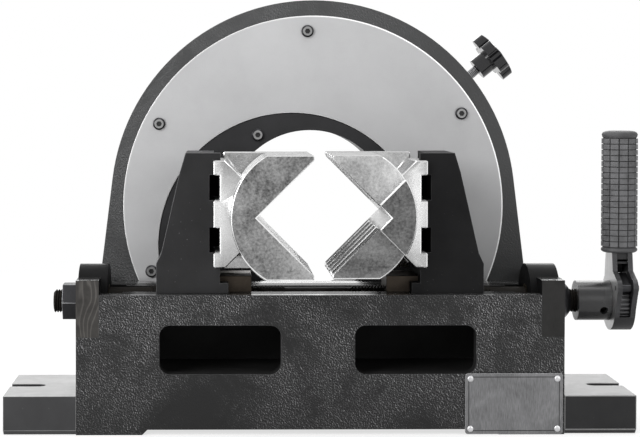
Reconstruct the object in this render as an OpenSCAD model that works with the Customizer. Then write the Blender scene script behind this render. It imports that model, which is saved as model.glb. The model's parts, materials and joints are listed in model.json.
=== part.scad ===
// Orbital pipe cutter: a self-centring vise with interleaving V-jaws on a cast bench base,
// and an eccentric saw rotor that turns round the pipe in an arch housing behind it.
// Millimetres. X runs along the vise spindle, Y along the pipe, Z up.
// The origin lies on the bench below the pipe axis, midway between the two bench slots.

/* [Base] */
// Width of the base casting
base_w = 370; // [360:1:390]
// Depth of the base casting, front to back
base_d = 104; // [100:1:112]
// Thickness of the deck
deck_t = 12; // [9:0.5:13]
// Thickness of the front and back walls
base_wall = 14; // [10:0.5:15]
// Thickness of the lower end walls
end_wall = 30; // [26:1:33]
// Width of the web between the two windows
web_w = 32; // [20:1:44]
// Height of the inner floor
floor_z = 44; // [38:1:46]
// Thickness of the inner floor
floor_t = 8; // [5:0.5:12]
// Height of the relief under the middle of the base
relief_h = 4; // [2:0.5:6]
// Width of each pad that the base stands on
relief_pad = 50; // [36:1:70]
// Distance of the deck slot from the base front
slot_front = 24; // [20:0.5:26]
// Width of the deck slot that guides the spindle nuts
slot_deck_w = 42; // [38:0.5:46]

/* [Windows] */
// Width of each window
window_w = 92; // [60:0.5:96]
// Height of each window
window_h = 37; // [24:0.5:40]
// Height of the windows' lower edge
window_z = 46; // [46:0.5:50]
// Distance of each window's centre from the middle of the pair
window_x = 74; // [68:0.5:80]
// Corner radius of the windows
window_r = 8; // [3:0.5:10]
// Offset of the pair of windows from the base's middle
window_off = -2; // [-4:0.5:4]

/* [Feet] */
// Length of each foot beyond the base
foot_len = 55; // [45:1:70]
// Thickness of the feet
foot_t = 29.5; // [24:0.5:32]
// Depth of the feet, front to back
foot_d = 100; // [92:1:104]
// Bevel along the lower edges of the feet
foot_bevel = 3.5; // [1:0.5:6]
// Width of the open bench slots
slot_w = 11; // [9:0.5:14]
// Length of the open bench slots
slot_len = 27; // [20:1:34]
// Distance of the foot bolts from the slot line
foot_bolt_y = 28; // [20:1:32]

/* [End blocks] */
// Thickness of the end blocks
block_t = 17.4; // [15:0.2:20]
// Depth of the end blocks, front to back
block_d = 90; // [88:1:96]
// Rise of the end blocks above the deck
block_rise = 11; // [8:0.5:16]
// Drop of the end blocks' ledge below the deck
ledge_drop = 32; // [29:0.5:34]
// Radius of the bearing boss
boss_r = 29; // [22:0.5:29.5]
// Length of the bearing boss inside the end block
boss_len = 5; // [3:0.5:8]

/* [Spindle] */
// Drop of the spindle axis below the deck
spindle_drop = 9.5; // [8:0.5:11]
// Radius of the thread between the end blocks
thread_r = 12; // [10:0.5:13]
// Radius of the spindle's journals
journal_r = 9; // [7.5:0.25:9.5]
// Wall of the spindle bushes
bush_wall = 4; // [2.5:0.5:6]
// Width across the flats of the lock nut
nut_af = 27; // [24:1:30]
// Thickness of the lock nut
nut_t = 13; // [10:0.5:16]
// Length of the threaded end beyond the lock nut
stub_len = 7.2; // [4:0.2:12]
// Radius of the thrust collar
collar_r = 16; // [13:0.5:18]
// Length of the thrust collar
collar_len = 12; // [8:0.5:14]
// Bare thread between the thrust collar and the crank hub
thread_gap = 5; // [3:0.5:9]
// Radius of the crank hub
hub_r = 15.5; // [13:0.5:18]
// Length of the crank hub
hub_len = 26; // [20:0.5:32]
// Radius of the cross hole in the crank hub
hub_hole_r = 3.2; // [2:0.2:4]

/* [Jaws] */
// Rise of the pipe axis above the deck
pipe_rise = 61; // [59:0.5:63]
// Distance of each V's apex from the pipe axis, as drawn
apex_x = 49.5; // [48:0.5:51]
// Distance of each jaw's tips from the pipe axis, as drawn
tip_x = 7; // [5:0.5:9]
// Half the height of the jaws
jaw_half = 45.8; // [44.5:0.1:46.4]
// Radius of the jaws' turned outer edge
arc_r = 53; // [51:0.5:56]
// Distance of the turned edge's centre from the apex
arc_in = 34.2; // [33:0.2:36]
// Number of plates in each comb
plates = 5; // [3:1:6]
// Thickness of each plate
plate_t = 10; // [8:0.5:11]
// Running gap between neighbouring plates of the two jaws
plate_gap = 0.5; // [0.3:0.1:1]
// Distance of the jaws' front ahead of the base front
jaw_reach = 39; // [20:1:42]
// Closing travel of each carriage
close_travel = 40; // [30:1:40.5]
// Half the height of the jaw's mounting flange
flange_half = 40.5; // [36:0.5:41]
// Width of the jaw's mounting flange
flange_w = 21; // [18:0.5:22]
// Depth of the notches in the flange
tooth_d = 4.8; // [2:0.2:6]
// Half the height of the flange's middle tooth
tooth_mid = 10.3; // [8:0.1:14]
// Height of the flange's outer teeth
tooth_end = 11; // [8:0.5:14]
// Distance of the flange behind the base front
flange_front = 2; // [0:0.5:6]
// Outer edge of the rear plate from the pipe axis
rear_plate_x = 73.6; // [70:0.2:74]

/* [Carriages] */
// Distance of the carriage front behind the base front
car_front = 8; // [4:0.5:10]
// Depth of the carriages, front to back
car_d = 60; // [60:0.5:66]
// Distance of the jaw seat from the pipe axis
seat_x = 81; // [79:0.5:83]
// Distance of the foot's outer face from the pipe axis
car_foot_x = 124.6; // [120:0.2:128]
// Height of the foot's upright side
car_foot_h = 23; // [16:0.5:28]
// Distance of the shoulder's outer edge from the pipe axis
car_shoulder_x = 120.8; // [114:0.2:122]
// Distance of the top's outer edge from the pipe axis
car_top_x = 102.3; // [98:0.2:106]
// Height of the top above the pipe axis
car_top_h = 46.2; // [45:0.2:48]
// Distance of the top lip from the pipe axis
car_lip_x = 75.8; // [74.4:0.2:78]
// Depth of the top lip, from the carriage front
car_lip_d = 8; // [4:0.5:20]
// Distance of the lower step from the pipe axis
car_step_x = 76.2; // [75:0.2:78]
// Height of the lower step above the deck
car_step_h = 8.2; // [6:0.2:10]
// Distance of the toe from the pipe axis
car_toe_x = 69.8; // [66:0.2:72]
// Distance of the nuts' inner face from the pipe axis
screw_nut_x = 52; // [50:0.5:54]
// Length of the spindle nuts
screw_nut_len = 46; // [40:0.5:50]
// Rise of the spindle nuts above the deck
screw_nut_rise = 12; // [10:0.5:13]
// Height of the nuts' keeper flange
keeper_t = 12; // [8:0.5:13]
// Overhang of the nuts' keeper flange under the deck
keeper_lip = 7; // [4:0.5:8]

/* [Lever] */
// Thickness of the ratchet lever
lever_t = 16; // [14:0.5:20]
// Thickness of the lever's cheeks
cheek_t = 3.8; // [3:0.1:5]
// Radius of the lever's head
head_r = 23; // [22.5:0.5:26]
// Half the width of the arm at the head
arm_low = 16; // [12:0.5:19]
// Half the width of the arm at the grip
arm_high = 10.5; // [9:0.5:12]
// Height of the grip's lower end above the spindle
grip_low = 38; // [34:0.5:44]
// Length of the grip
grip_len = 95; // [80:1:120]
// Radius of the grip
grip_r = 13.7; // [12:0.1:16]
// Rows of grooves on the grip
grip_rows = 19; // [8:1:24]
// Radius over the ratchet teeth
gear_r = 19.5; // [17:0.1:19.6]
// Depth of the ratchet teeth
gear_tooth = 2.2; // [1.5:0.1:3]
// Number of ratchet teeth
gear_teeth = 36; // [12:1:40]
// Distance of the pawl pin ahead of the spindle
pawl_y = 23; // [22:0.5:25]
// Height of the pawl pin above the spindle
pawl_z = 12; // [11:0.5:14]
// Radius of the pawl pin
pawl_pin_r = 1.75; // [1.5:0.25:2]

/* [Housing] */
// Depth of the arch housing, front to back
housing_d = 60; // [54:1:70]
// Thickness of the housing below the rotor
housing_floor = 12; // [10:0.5:16]
// Wall of the arch round the rotor
arch_wall = 10; // [8:0.5:14]
// Rise of the arch's centre above the pipe axis
arch_rise = 2.5; // [0:0.5:5]
// Flare of the arch's legs in degrees
arch_flare = 7; // [3:0.5:10]
// Depth of the housing's rear lip
lip_d = 12; // [8:0.5:16]
// Height of the rear lip that holds the rotor
lip_step = 2; // [1.5:0.5:4]
// Angle of the star knob above the horizontal
lock_angle = 39; // [25:1:60]
// Radius of the star knob's stud
stud_r = 4; // [3:0.5:5]
// Radius of the star knob's hub
knob_hub_r = 9; // [7:0.5:11]
// Length of the star knob's hub
knob_hub_len = 12; // [8:0.5:16]
// Radius over the star knob's lobes
knob_r = 20.5; // [17:0.5:24]
// Thickness of the star knob's head
knob_t = 12; // [8:0.5:14]
// Bare stud between the housing and the knob
stud_show = 11; // [8:0.5:16]

/* [Rotor] */
// Radius of the rotor and its front plate
rotor_r = 155; // [154:0.5:156]
// Thickness of the front plate
plate_front_t = 4.5; // [3:0.5:6]
// Distance of the eccentric disc's axis from the pipe axis
ecc = 37.4; // [36:0.2:38]
// Direction of the eccentric disc's axis, in degrees
ecc_angle = 242; // [238:1:246]
// Wall of the rotor where it is thinnest round the eccentric disc
disc_rim = 6.9; // [6.5:0.1:8]
// Width of the front plate's lip over the disc
disc_lip = 1.7; // [1.2:0.1:2.5]
// Wall of the disc where it is thinnest round the pipe hole
hole_rim = 12.3; // [11:0.1:16]
// Offset of the pipe hole from the pipe axis
hole_off = 6; // [3:0.5:8]
// Thickness of the rotor keeper
keeper_plate_t = 6; // [4:0.5:8]
// Overhang of the rotor keeper over the rotor
keeper_over = 3; // [1:0.5:6]
// Width of the keeper's lip over the disc
keeper_disc_lip = 5; // [3:0.5:6]

/* [Saw] */
// Radius of the saw blade
blade_r = 40; // [34:0.5:40]
// Number of blade teeth
blade_teeth = 56; // [36:1:72]
// Distance of the blade's axis from the pipe axis
blade_x = 102; // [100:0.5:106]
// Inward travel of the saw slide
slide_travel = 55; // [40:1:55]
// Radius of the motor
motor_r = 36; // [32:0.5:37]
// Length of the motor housing
motor_len = 70; // [60:1:90]
// Length of the rear handle
handle_len = 72; // [62:1:84]
// Radius of the rear handle
handle_r = 18; // [16:0.5:20]
// Thickness of the gear case
gear_case_t = 32; // [26:1:40]
// Radius of the setting screw
set_screw_r = 5; // [4:0.5:5.5]
// Radius of the setting knob
set_knob_r = 13; // [9:0.5:15]

/* [Name plate] */
// Width of the name plate
plate_w = 74; // [50:1:76]
// Height of the name plate
plate_h = 46; // [30:0.5:46]
// Thickness of the name plate
plate_thick = 1.2; // [0.8:0.1:2]

/* [Clearances] */
// Radial gap of a running fit
run_gap = 0.05; // [0.02:0.01:0.1]
// Gap between faces that slide or turn past each other
turn_gap = 0.3; // [0.2:0.05:0.5]
// Gap between the carriages and the deck
slide_gap = 0.2; // [0.1:0.05:0.4]

/* [Hidden] */
$fn = 96;
eps = 1;

// Screw sizes: shank radius, head radius, head height
m6 = [3, 5, 3];
m8 = [4, 6.5, 8];
m10 = [5, 8, 10];
screw_gap = 0.1;
// Depth of each size's thread in the solid behind, and of the hole beyond the screw's tip
m6_bite = 14;
m8_bite = 10;
m10_bite = 18;
hole_spare = 2;

// Base
pipe_z = rotor_r + housing_floor;
deck_z = pipe_z - pipe_rise;
front_y = -foot_d / 2;
rear_y = front_y + base_d;
base_x = base_w / 2;
upper_x = base_x - block_t;
ledge_z = deck_z - ledge_drop;
under_deck = deck_z - deck_t;
web_drop = 6;
web_z = under_deck - keeper_t - web_drop;
relief_x = base_x - relief_pad;
slot_y0 = front_y + slot_front;
slot_y1 = slot_y0 + slot_deck_w;
slot_x = base_x + foot_len - slot_len + slot_w / 2;
spindle_y = (slot_y0 + slot_y1) / 2;
spindle_z = deck_z - spindle_drop;
bush_r = journal_r + bush_wall;
pocket_gap = 1;
pocket_run = 12;
pocket_y = boss_r + pocket_gap;
pocket_x = upper_x - boss_len - pocket_run;
block_screw_in = 8;
block_screw_drop = 6;
block_screw_y = [front_y + block_screw_in, front_y + block_d - block_screw_in];
block_screw_z = spindle_z - block_screw_drop;
house_bolt_in = [24, 55];
house_bolts_x = [for (d = house_bolt_in) base_x - end_wall - d];
house_bolt_z = relief_h + (floor_z - floor_t) / 2;

// Name plate
plate_edge = 1.5;
plate_z0 = 0.5;
plate_r = 2;
plate_margin = 4;
plate_mid = [base_x - plate_edge - plate_w / 2, plate_z0 + plate_h / 2];
rivet_r = 1.6;
rivet_head = 0.8;

// Jaws and carriages
half_pitch = plate_t + plate_gap;
jaw_y0 = front_y - jaw_reach;
jaw_y1 = jaw_y0 + 2 * plates * half_pitch;
jaw_spare = 1;
wedge_x = 2 * close_travel - apex_x + jaw_spare;
far = 70;
flange_y0 = front_y + flange_front;
car_y0 = front_y + car_front;
car_y1 = car_y0 + car_d;
car_z0 = deck_z + slide_gap;
car_lip_z = pipe_z + flange_half + slide_gap;
car_step_z = pipe_z - flange_half - slide_gap;
car_slope_h = 8;
car_neck_x = car_top_x + 4.5;
car_neck_drop = 15;
screw_nut_y = slot_deck_w / 2 - slide_gap;
screw_nut_top = deck_z + screw_nut_rise;
keeper_top = under_deck - slide_gap;
jaw_screw_in = 17;
jaw_screw_y = [car_y0 + jaw_screw_in, car_y1 - jaw_screw_in];
jaw_web = 14;
jaw_hole_x = apex_x + 10;
spindle_groove_r = thread_r + 1;
seat_slot = 3.2;
seat_slot_z = [tooth_mid, flange_half - tooth_end];

// Spindle
collar_x0 = base_x + turn_gap;
collar_x1 = collar_x0 + collar_len;
dome_r = collar_r * 1.15;
hub_x0 = collar_x1 + thread_gap;
hub_x1 = hub_x0 + hub_len;
hub_hole_turn = 115;
lever_x0 = hub_x1 + turn_gap;
lever_x1 = lever_x0 + lever_t;
cheek_x0 = lever_x0 + cheek_t;
cheek_x1 = lever_x1 - cheek_t;
lever_mid = (lever_x0 + lever_x1) / 2;
ring_t = 2;
ring_w = 4;
spindle_tip = 1;
spindle_end = lever_x1 + turn_gap + ring_t + spindle_tip;
nut_x = base_x + turn_gap;

// Lever
tang_w = 12;
tang_d = 15;
grip_cap = 8;
tang_len = grip_len - grip_cap;
rows_z0 = 7;
groove_d = 0.6;
grip_rim = 0.4;
arm_root = 10;
rib_z = [[29.6, 31.2], [33, grip_low]];
rib_back = 1;
arm_web_t = 3;
arm_web_z = gear_r + 1.5;
bridge_z = -11;
pawl_eye_r = pawl_pin_r + 1.45;
pawl_boss_r = 7.5;
pawl_hood = [[-14, 24], [-25, 19], [-30, 10], [-22, -6], [0, 0]];
pawl_gap = 0.5;
pawl_angle = 107;
pawl_nose = (gear_r + pawl_gap) * [cos(pawl_angle), sin(pawl_angle)];
pawl_back = [-16.5, 14.2];
pawl_top = [-7.2, 22.6];
pin_head_r = pawl_pin_r + 1.5;
pin_head_t = 1.5;

// Housing
arch_r = rotor_r + arch_wall;
lip_r = rotor_r - lip_step;
keeper_r = rotor_r + keeper_over;
house_y0 = rear_y;
house_y1 = house_y0 + housing_d;
lip_y = house_y1 - lip_d;
arch_z = pipe_z + arch_rise;
flare_x = arch_r * cos(arch_flare);
flare_z = arch_z + arch_r * sin(arch_flare);
leg_x = flare_x + (flare_z - deck_z) * tan(arch_flare);
lock_shift = 6;
lock_y = (house_y0 + lip_y) / 2 + lock_shift;
lock_face = arch_rise * sin(lock_angle) + arch_r;
lock_bush_r = stud_r + 3;
lock_bush_z = rotor_r + 2;
stud_tip = rotor_r + 0.45;
knob_from = lock_face + stud_show;
knob_lobes = 6;
knob_lobe_r = knob_r * 0.3;
knob_core_r = knob_r * 0.7;
knob_dome_r = knob_r * 3.4;

// Rotor and eccentric disc
plate_y0 = house_y0 - 0.5;
plate_y1 = plate_y0 + plate_front_t;
recess_gap = 2;
disc_r = rotor_r - ecc - disc_rim;
hole_r = disc_r - ecc + hole_off - hole_rim;
rotor_bore = disc_r + turn_gap;
plate_hole = disc_r - disc_lip;
cover_r = plate_hole - turn_gap;
ecc_x = ecc * cos(ecc_angle);
ecc_z = pipe_z + ecc * sin(ecc_angle);
hole_x = hole_off * cos(ecc_angle);
hole_z = pipe_z + hole_off * sin(ecc_angle);
rotor_back = house_y1 + turn_gap;
keeper_back = rotor_back + keeper_plate_t;
disc_y0 = plate_y1 + turn_gap;
disc_y1 = rotor_back - turn_gap;
disc_back = keeper_back + 1;
pad_r = disc_r - keeper_disc_lip;
cover_y0 = plate_y0 + 1;
front_screws = [for (a = [40, 90, 150], s = [-1, 1]) ecc_angle + s * a];
front_screw_r = rotor_r - 12.6;
cover_screws = [for (a = [45, 105, 165], s = [-1, 1]) ecc_angle - 180 + s * a];
cover_screw_r = disc_r - 15.7;
keeper_screws_at = [for (a = [60:40:300]) ecc_angle + a];
keeper_screw_r = lip_r - 11;

// Saw slide
rail_half = 12;
rail_gap = 2.7;
rail_z = hole_z - hole_r - rail_gap - rail_half;
rail_top = 10;
rail_root = 6;
rail_x0 = -112;
rail_x1 = 40;
rail_base_t = 8;
rail_h = 10;
rail_y1 = disc_back + rail_base_t;
rail_y2 = rail_y1 + rail_h;
lug_t = 8;
lug_over = 6;
rail_screw_in = 17;
rail_screw_x = [rail_x0 + rail_screw_in, (rail_x0 + rail_x1) / 2, rail_x1 - lug_t - rail_screw_in];
rail_screw_y = rail_y2 - m6[2] - 1;
gib_t = 3;
slide_top = 17;
slide_y0 = rail_y1 + turn_gap;
slide_y1 = rail_y2 + slide_top;
arm_t = 10;
arm_y0 = slide_y1 - arm_t;
block_x0 = -116;
block_x1 = -62;
block_half = 16;
block_over = 4;
set_y = rail_y2 + turn_gap + set_screw_r + 2.5;
set_collar_t = 2.7;
set_collar_r = set_screw_r + 2;
set_tail = 2;
set_knob_in = 12;
set_knob_len = 18;
set_lobe_r = 2;

// Saw
blade_t = 1.6;
blade_tooth = 2.4;
blade_y0 = arm_y0 - arm_t;
blade_y1 = blade_y0 + blade_t;
nose_r = 5;
nose_len = 1;
arbor_r = 8;
arbor_flange_r = 14;
arbor_flange_t = 4;
flange_t = 3.5;
blade_bolt_len = 16;
blade_bolt_af = 10;
blade_bolt_head = 4.5;
guard_r = blade_r + 5;
guard_wall = 2.5;
guard_y0 = blade_y0 - 6;
guard_eye_r = arbor_flange_r + 8;
guard_open = 16;
motor_x = 2 - blade_x;
motor_z = pipe_z - 17;
case_y1 = slide_y1 + gear_case_t;
case_nose_r = motor_r - 3;
case_r = motor_r + 1;
case_screws = [for (a = [45:90:315]) on_circle(motor_x, motor_z, motor_r - 7, a)];
case_screw_len = 11;
case_screw_head = 4;
arbor_end = case_y1 - 6;
motor_y1 = case_y1 + motor_len;
vent = [8, 18, 4];
vent_back = 26;
vents = 12;
cap_len = 14;
cap_y1 = motor_y1 + cap_len;
cap_shoulder = 5;
handle_y1 = cap_y1 + handle_len;
handle_flare = 2;
handle_waist = 1.5;
handle_step = 8;
gland_len = 18;
gland_r = 7;
gland_nut_r = 9;
gland_nut_t = 6;
cord_r = 3.5;
trigger_w = 12;
trigger_len = 28;
trigger_travel = 4;
trigger_y = cap_y1 + 12;
trigger_top = motor_z - handle_r + 6;
trigger_low = motor_z - handle_r - 4;
trigger_lead = 6;

// Helpers

// Extrudes a front-view outline from y0 to y1
module along_y(y0, y1) translate([0, y1, 0]) rotate([90, 0, 0]) linear_extrude(y1 - y0) children();

// Extrudes a side-view outline from x0 to x1
module along_x(x0, x1) translate([x0, 0, 0]) rotate([90, 0, 90]) linear_extrude(x1 - x0) children();

module rod_x(r, x0, x1, y, z) translate([x0, y, z]) rotate([0, 90, 0]) cylinder(h = x1 - x0, r = r);

module rod_y(r, y0, y1, x, z) translate([x, y0, z]) rotate([-90, 0, 0]) cylinder(h = y1 - y0, r = r);

module box(x, y, z) translate([x[0], y[0], z[0]]) cube([x[1] - x[0], y[1] - y[0], z[1] - z[0]]);

module both_sides() {
  children();
  mirror([1, 0, 0]) children();
}

// Rectangle with round corners, centred on the origin
module rounded(w, h, r) {
  square([w - 2 * r, h], center = true);
  square([w, h - 2 * r], center = true);
  for (x = [-1, 1], y = [-1, 1]) translate([x * (w / 2 - r), y * (h / 2 - r)]) circle(r);
}

// Points +Z outwards from the pipe axis at an angle above the horizontal
module radial(angle) translate([0, 0, pipe_z]) rotate([0, 90 - angle, 0]) children();

// A place on a circle in the front view
function on_circle(x, z, r, a) = [x + r * cos(a), z + r * sin(a)];

// Socket-head screw along +Z with its head's seat at the origin
module socket_screw(size, length) {
  difference() {
    translate([0, 0, -size[2]]) cylinder(h = size[2], r = size[1]);
    translate([0, 0, -size[2] - eps]) cylinder(h = size[2] * 0.55 + eps, r = size[0] * 0.96, $fn = 6);
  }
  cylinder(h = length, r = size[0]);
}

// Base

module base_outline() {
  translate([-base_x, 0]) square([base_w, ledge_z]);
  translate([-upper_x, 0]) square([2 * upper_x, deck_z]);
}

// Space between the pads that the machine stands on, with sloping ends
module relief(y0, y1) along_y(y0 - eps, y1 + eps) polygon([
  [-relief_x - eps, -eps], [relief_x + eps, -eps], [relief_x - relief_h, relief_h],
  [relief_h - relief_x, relief_h]]);

module base_casting() color("#2d2d2e") difference() {
  along_y(front_y, rear_y) base_outline();
  relief(front_y, rear_y);
  box([-base_x + end_wall, base_x - end_wall], [front_y + base_wall, rear_y - base_wall],
    [-eps, floor_z - floor_t]);
  both_sides() box([web_w / 2, base_x - end_wall], [front_y + base_wall, rear_y - base_wall],
    [floor_z, web_z + eps]);
  box([-base_x + end_wall, base_x - end_wall], [front_y + base_wall, rear_y - base_wall],
    [web_z, under_deck]);
  box([-pocket_x - eps, pocket_x + eps], [slot_y0, slot_y1], [under_deck - eps, deck_z + eps]);
  both_sides() box([pocket_x, upper_x + eps], [spindle_y - pocket_y, spindle_y + pocket_y],
    [ledge_z, deck_z + eps]);
  for (s = [-1, 1])
    along_y(front_y - eps, front_y + base_wall + eps)
      translate([window_off + s * window_x, window_z + window_h / 2]) rounded(window_w, window_h, window_r);
  rod_y(rotor_r + recess_gap, plate_y0 - m6[2] - recess_gap, rear_y + eps, 0, pipe_z);
  both_sides() {
    for (y = [-1, 1])
      rod_x(m10[0] + screw_gap, base_x - end_wall - eps, base_x + eps, y * foot_bolt_y, foot_t / 2);
    for (x = house_bolts_x)
      rod_y(m10[0] + screw_gap, rear_y - base_wall - eps, rear_y + eps, x, house_bolt_z);
    for (y = block_screw_y)
      rod_x(m8[0] + screw_gap, upper_x - m8_bite - hole_spare, upper_x + eps, y, block_screw_z);
  }
}

module foot() difference() {
  along_x(base_x, base_x + foot_len) polygon([
    [front_y + foot_bevel, 0], [-front_y - foot_bevel, 0], [-front_y, foot_bevel],
    [-front_y, foot_t], [front_y, foot_t], [front_y, foot_bevel]]);
  box([slot_x, base_x + foot_len + eps], [-slot_w / 2, slot_w / 2], [-eps, foot_t + eps]);
  translate([slot_x, 0, -eps]) cylinder(h = foot_t + 2 * eps, r = slot_w / 2);
  for (y = [-1, 1])
    rod_x(m10[0] + screw_gap, base_x - eps, base_x + m10_bite + hole_spare, y * foot_bolt_y, foot_t / 2);
}

module foot_left() color("#8c8d8f") mirror([1, 0, 0]) foot();

module foot_right() color("#8c8d8f") foot();

module foot_bolts() color("#3a3a3c") both_sides()
  for (y = [-1, 1]) translate([base_x - end_wall, y * foot_bolt_y, foot_t / 2])
    rotate([0, 90, 0]) socket_screw(m10, end_wall + m10_bite);

module end_block() difference() {
  union() {
    box([upper_x, base_x], [front_y, front_y + block_d], [ledge_z, deck_z + block_rise]);
    intersection() {
      rod_x(boss_r, upper_x - boss_len, base_x, spindle_y, spindle_z);
      box([upper_x - boss_len - eps, base_x], [front_y, front_y + block_d], [ledge_z, 2 * deck_z]);
    }
  }
  rod_x(bush_r + screw_gap, upper_x - boss_len - eps, base_x + eps, spindle_y, spindle_z);
  for (y = block_screw_y) {
    rod_x(m8[0] + screw_gap, upper_x - eps, base_x, y, block_screw_z);
    rod_x(m8[1] + screw_gap, base_x - m8[2], base_x + eps, y, block_screw_z);
  }
}

module end_block_left() color("#4a4846") mirror([1, 0, 0]) end_block();

module end_block_right() color("#4a4846") end_block();

module end_block_screws() color("#3a3a3c") both_sides()
  for (y = block_screw_y) translate([base_x - m8[2], y, block_screw_z])
    rotate([0, -90, 0]) socket_screw(m8, block_t - m8[2] + m8_bite);

module spindle_bushes() color("#a8854a") both_sides() difference() {
  rod_x(bush_r, upper_x - boss_len, base_x, spindle_y, spindle_z);
  rod_x(journal_r + run_gap, upper_x - boss_len - eps, base_x + eps, spindle_y, spindle_z);
}

module name_plate() color("#a9abad") along_y(front_y - plate_thick, front_y) translate(plate_mid)
  difference() {
    rounded(plate_w, plate_h, plate_r);
    for (x = [-1, 1], z = [-1, 1])
      translate([x * (plate_w / 2 - plate_margin), z * (plate_h / 2 - plate_margin)])
        circle(rivet_r + screw_gap);
  }

module plate_rivets() color("#c4c5c7") translate([plate_mid[0], front_y, plate_mid[1]])
  for (x = [-1, 1], z = [-1, 1])
    translate([x * (plate_w / 2 - plate_margin), 0, z * (plate_h / 2 - plate_margin)]) rotate([90, 0, 0]) {
      cylinder(h = plate_thick, r = rivet_r);
      translate([0, 0, plate_thick]) cylinder(h = rivet_head, r = rivet_r * 1.5);
    }

// Arch housing

module arch_outline() {
  intersection() {
    translate([0, arch_z]) circle(arch_r);
    translate([-arch_r, 0]) square(2 * arch_r + arch_z);
  }
  polygon([[-leg_x, 0], [leg_x, 0], [leg_x, deck_z], [flare_x, flare_z], [-flare_x, flare_z],
    [-leg_x, deck_z]]);
}

module arch_housing() color("#3b3c3e") difference() {
  along_y(house_y0, house_y1) arch_outline();
  rod_y(rotor_r + turn_gap, house_y0 - eps, lip_y, 0, pipe_z);
  rod_y(lip_r, lip_y - eps, house_y1 + eps, 0, pipe_z);
  relief(house_y0, house_y1);
  both_sides() for (x = house_bolts_x)
    rod_y(m10[0] + screw_gap, house_y0 - eps, house_y0 + m10_bite + hole_spare, x, house_bolt_z);
  translate([0, lock_y, 0]) radial(lock_angle) {
    cylinder(h = arch_r + 2 * arch_rise + eps, r = stud_r + turn_gap);
    translate([0, 0, lock_bush_z]) cylinder(h = arch_r, r = lock_bush_r + screw_gap);
  }
}

module housing_bolts() color("#3a3a3c") both_sides()
  for (x = house_bolts_x) translate([x, rear_y - base_wall, house_bolt_z])
    rotate([-90, 0, 0]) socket_screw(m10, base_wall + m10_bite);

module lock_bush() color("#a8854a") translate([0, lock_y, 0]) radial(lock_angle)
  translate([0, 0, lock_bush_z]) difference() {
    cylinder(h = lock_face - lock_bush_z, r = lock_bush_r);
    translate([0, 0, -eps]) cylinder(h = arch_r, r = stud_r + run_gap);
  }

module lock_stud() color("#55565a") translate([0, lock_y, 0]) radial(lock_angle)
  translate([0, 0, stud_tip]) cylinder(h = knob_from + knob_hub_len / 2 - stud_tip, r = stud_r);

module star_knob() color("#18181a") translate([0, lock_y, 0]) radial(lock_angle)
  translate([0, 0, knob_from]) difference() {
    union() {
      cylinder(h = knob_hub_len, r = knob_hub_r);
      translate([0, 0, knob_hub_len]) intersection() {
        linear_extrude(knob_t) {
          circle(knob_core_r);
          for (i = [0:knob_lobes - 1]) rotate(i * 360 / knob_lobes)
            translate([knob_r - knob_lobe_r, 0]) circle(knob_lobe_r);
        }
        rotate_extrude() intersection() {
          square([knob_r, knob_t]);
          translate([0, knob_t - knob_dome_r]) circle(knob_dome_r);
        }
      }
    }
    translate([0, 0, -eps]) cylinder(h = knob_hub_len / 2 + eps + turn_gap, r = stud_r + run_gap);
  }

// Rotor

module rotor_ring() color("#6f7174") difference() {
  union() {
    rod_y(rotor_r, plate_y1, lip_y - turn_gap, 0, pipe_z);
    rod_y(lip_r - turn_gap, lip_y - turn_gap - eps, rotor_back, 0, pipe_z);
  }
  rod_y(rotor_bore, plate_y1 - eps, rotor_back + eps, ecc_x, ecc_z);
  for (a = front_screws) let (p = on_circle(0, pipe_z, front_screw_r, a))
    rod_y(m6[0] + screw_gap, plate_y1 - eps, plate_y1 + m6_bite + hole_spare, p[0], p[1]);
  for (a = keeper_screws_at) let (p = on_circle(0, pipe_z, keeper_screw_r, a))
    rod_y(m6[0] + screw_gap, rotor_back - m6_bite - hole_spare, rotor_back + eps, p[0], p[1]);
}

module front_plate() color("#b9babc") difference() {
  rod_y(rotor_r, plate_y0, plate_y1, 0, pipe_z);
  rod_y(plate_hole, plate_y0 - eps, plate_y1 + eps, ecc_x, ecc_z);
  for (a = front_screws) let (p = on_circle(0, pipe_z, front_screw_r, a))
    rod_y(m6[0] + screw_gap, plate_y0 - eps, plate_y1 + eps, p[0], p[1]);
}

module front_plate_screws() color("#2c2c2e") for (a = front_screws)
  let (p = on_circle(0, pipe_z, front_screw_r, a))
    translate([p[0], plate_y0, p[1]]) rotate([-90, 0, 0]) socket_screw(m6, plate_front_t + m6_bite);

module rotor_keeper() color("#6f7174") difference() {
  rod_y(keeper_r, rotor_back, keeper_back, 0, pipe_z);
  rod_y(pad_r + turn_gap, rotor_back - eps, keeper_back + eps, ecc_x, ecc_z);
  for (a = keeper_screws_at) let (p = on_circle(0, pipe_z, keeper_screw_r, a))
    rod_y(m6[0] + screw_gap, rotor_back - eps, keeper_back + eps, p[0], p[1]);
}

module keeper_screws() color("#2c2c2e") for (a = keeper_screws_at)
  let (p = on_circle(0, pipe_z, keeper_screw_r, a))
    translate([p[0], keeper_back, p[1]]) rotate([90, 0, 0]) socket_screw(m6, keeper_plate_t + m6_bite);

// Eccentric disc

module eccentric_disc() color("#333436") difference() {
  union() {
    rod_y(disc_r, disc_y0, disc_y1, ecc_x, ecc_z);
    rod_y(pad_r, disc_y1 - eps, disc_back, ecc_x, ecc_z);
  }
  rod_y(hole_r, disc_y0 - eps, disc_back + eps, hole_x, hole_z);
  for (a = cover_screws) let (p = on_circle(ecc_x, ecc_z, cover_screw_r, a))
    rod_y(m6[0] + screw_gap, disc_y0 - eps, disc_y0 + m6_bite + hole_spare, p[0], p[1]);
  for (x = rail_screw_x)
    rod_y(m6[0] + screw_gap, disc_back - m6_bite - hole_spare, disc_back + eps, x, rail_z);
}

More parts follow.
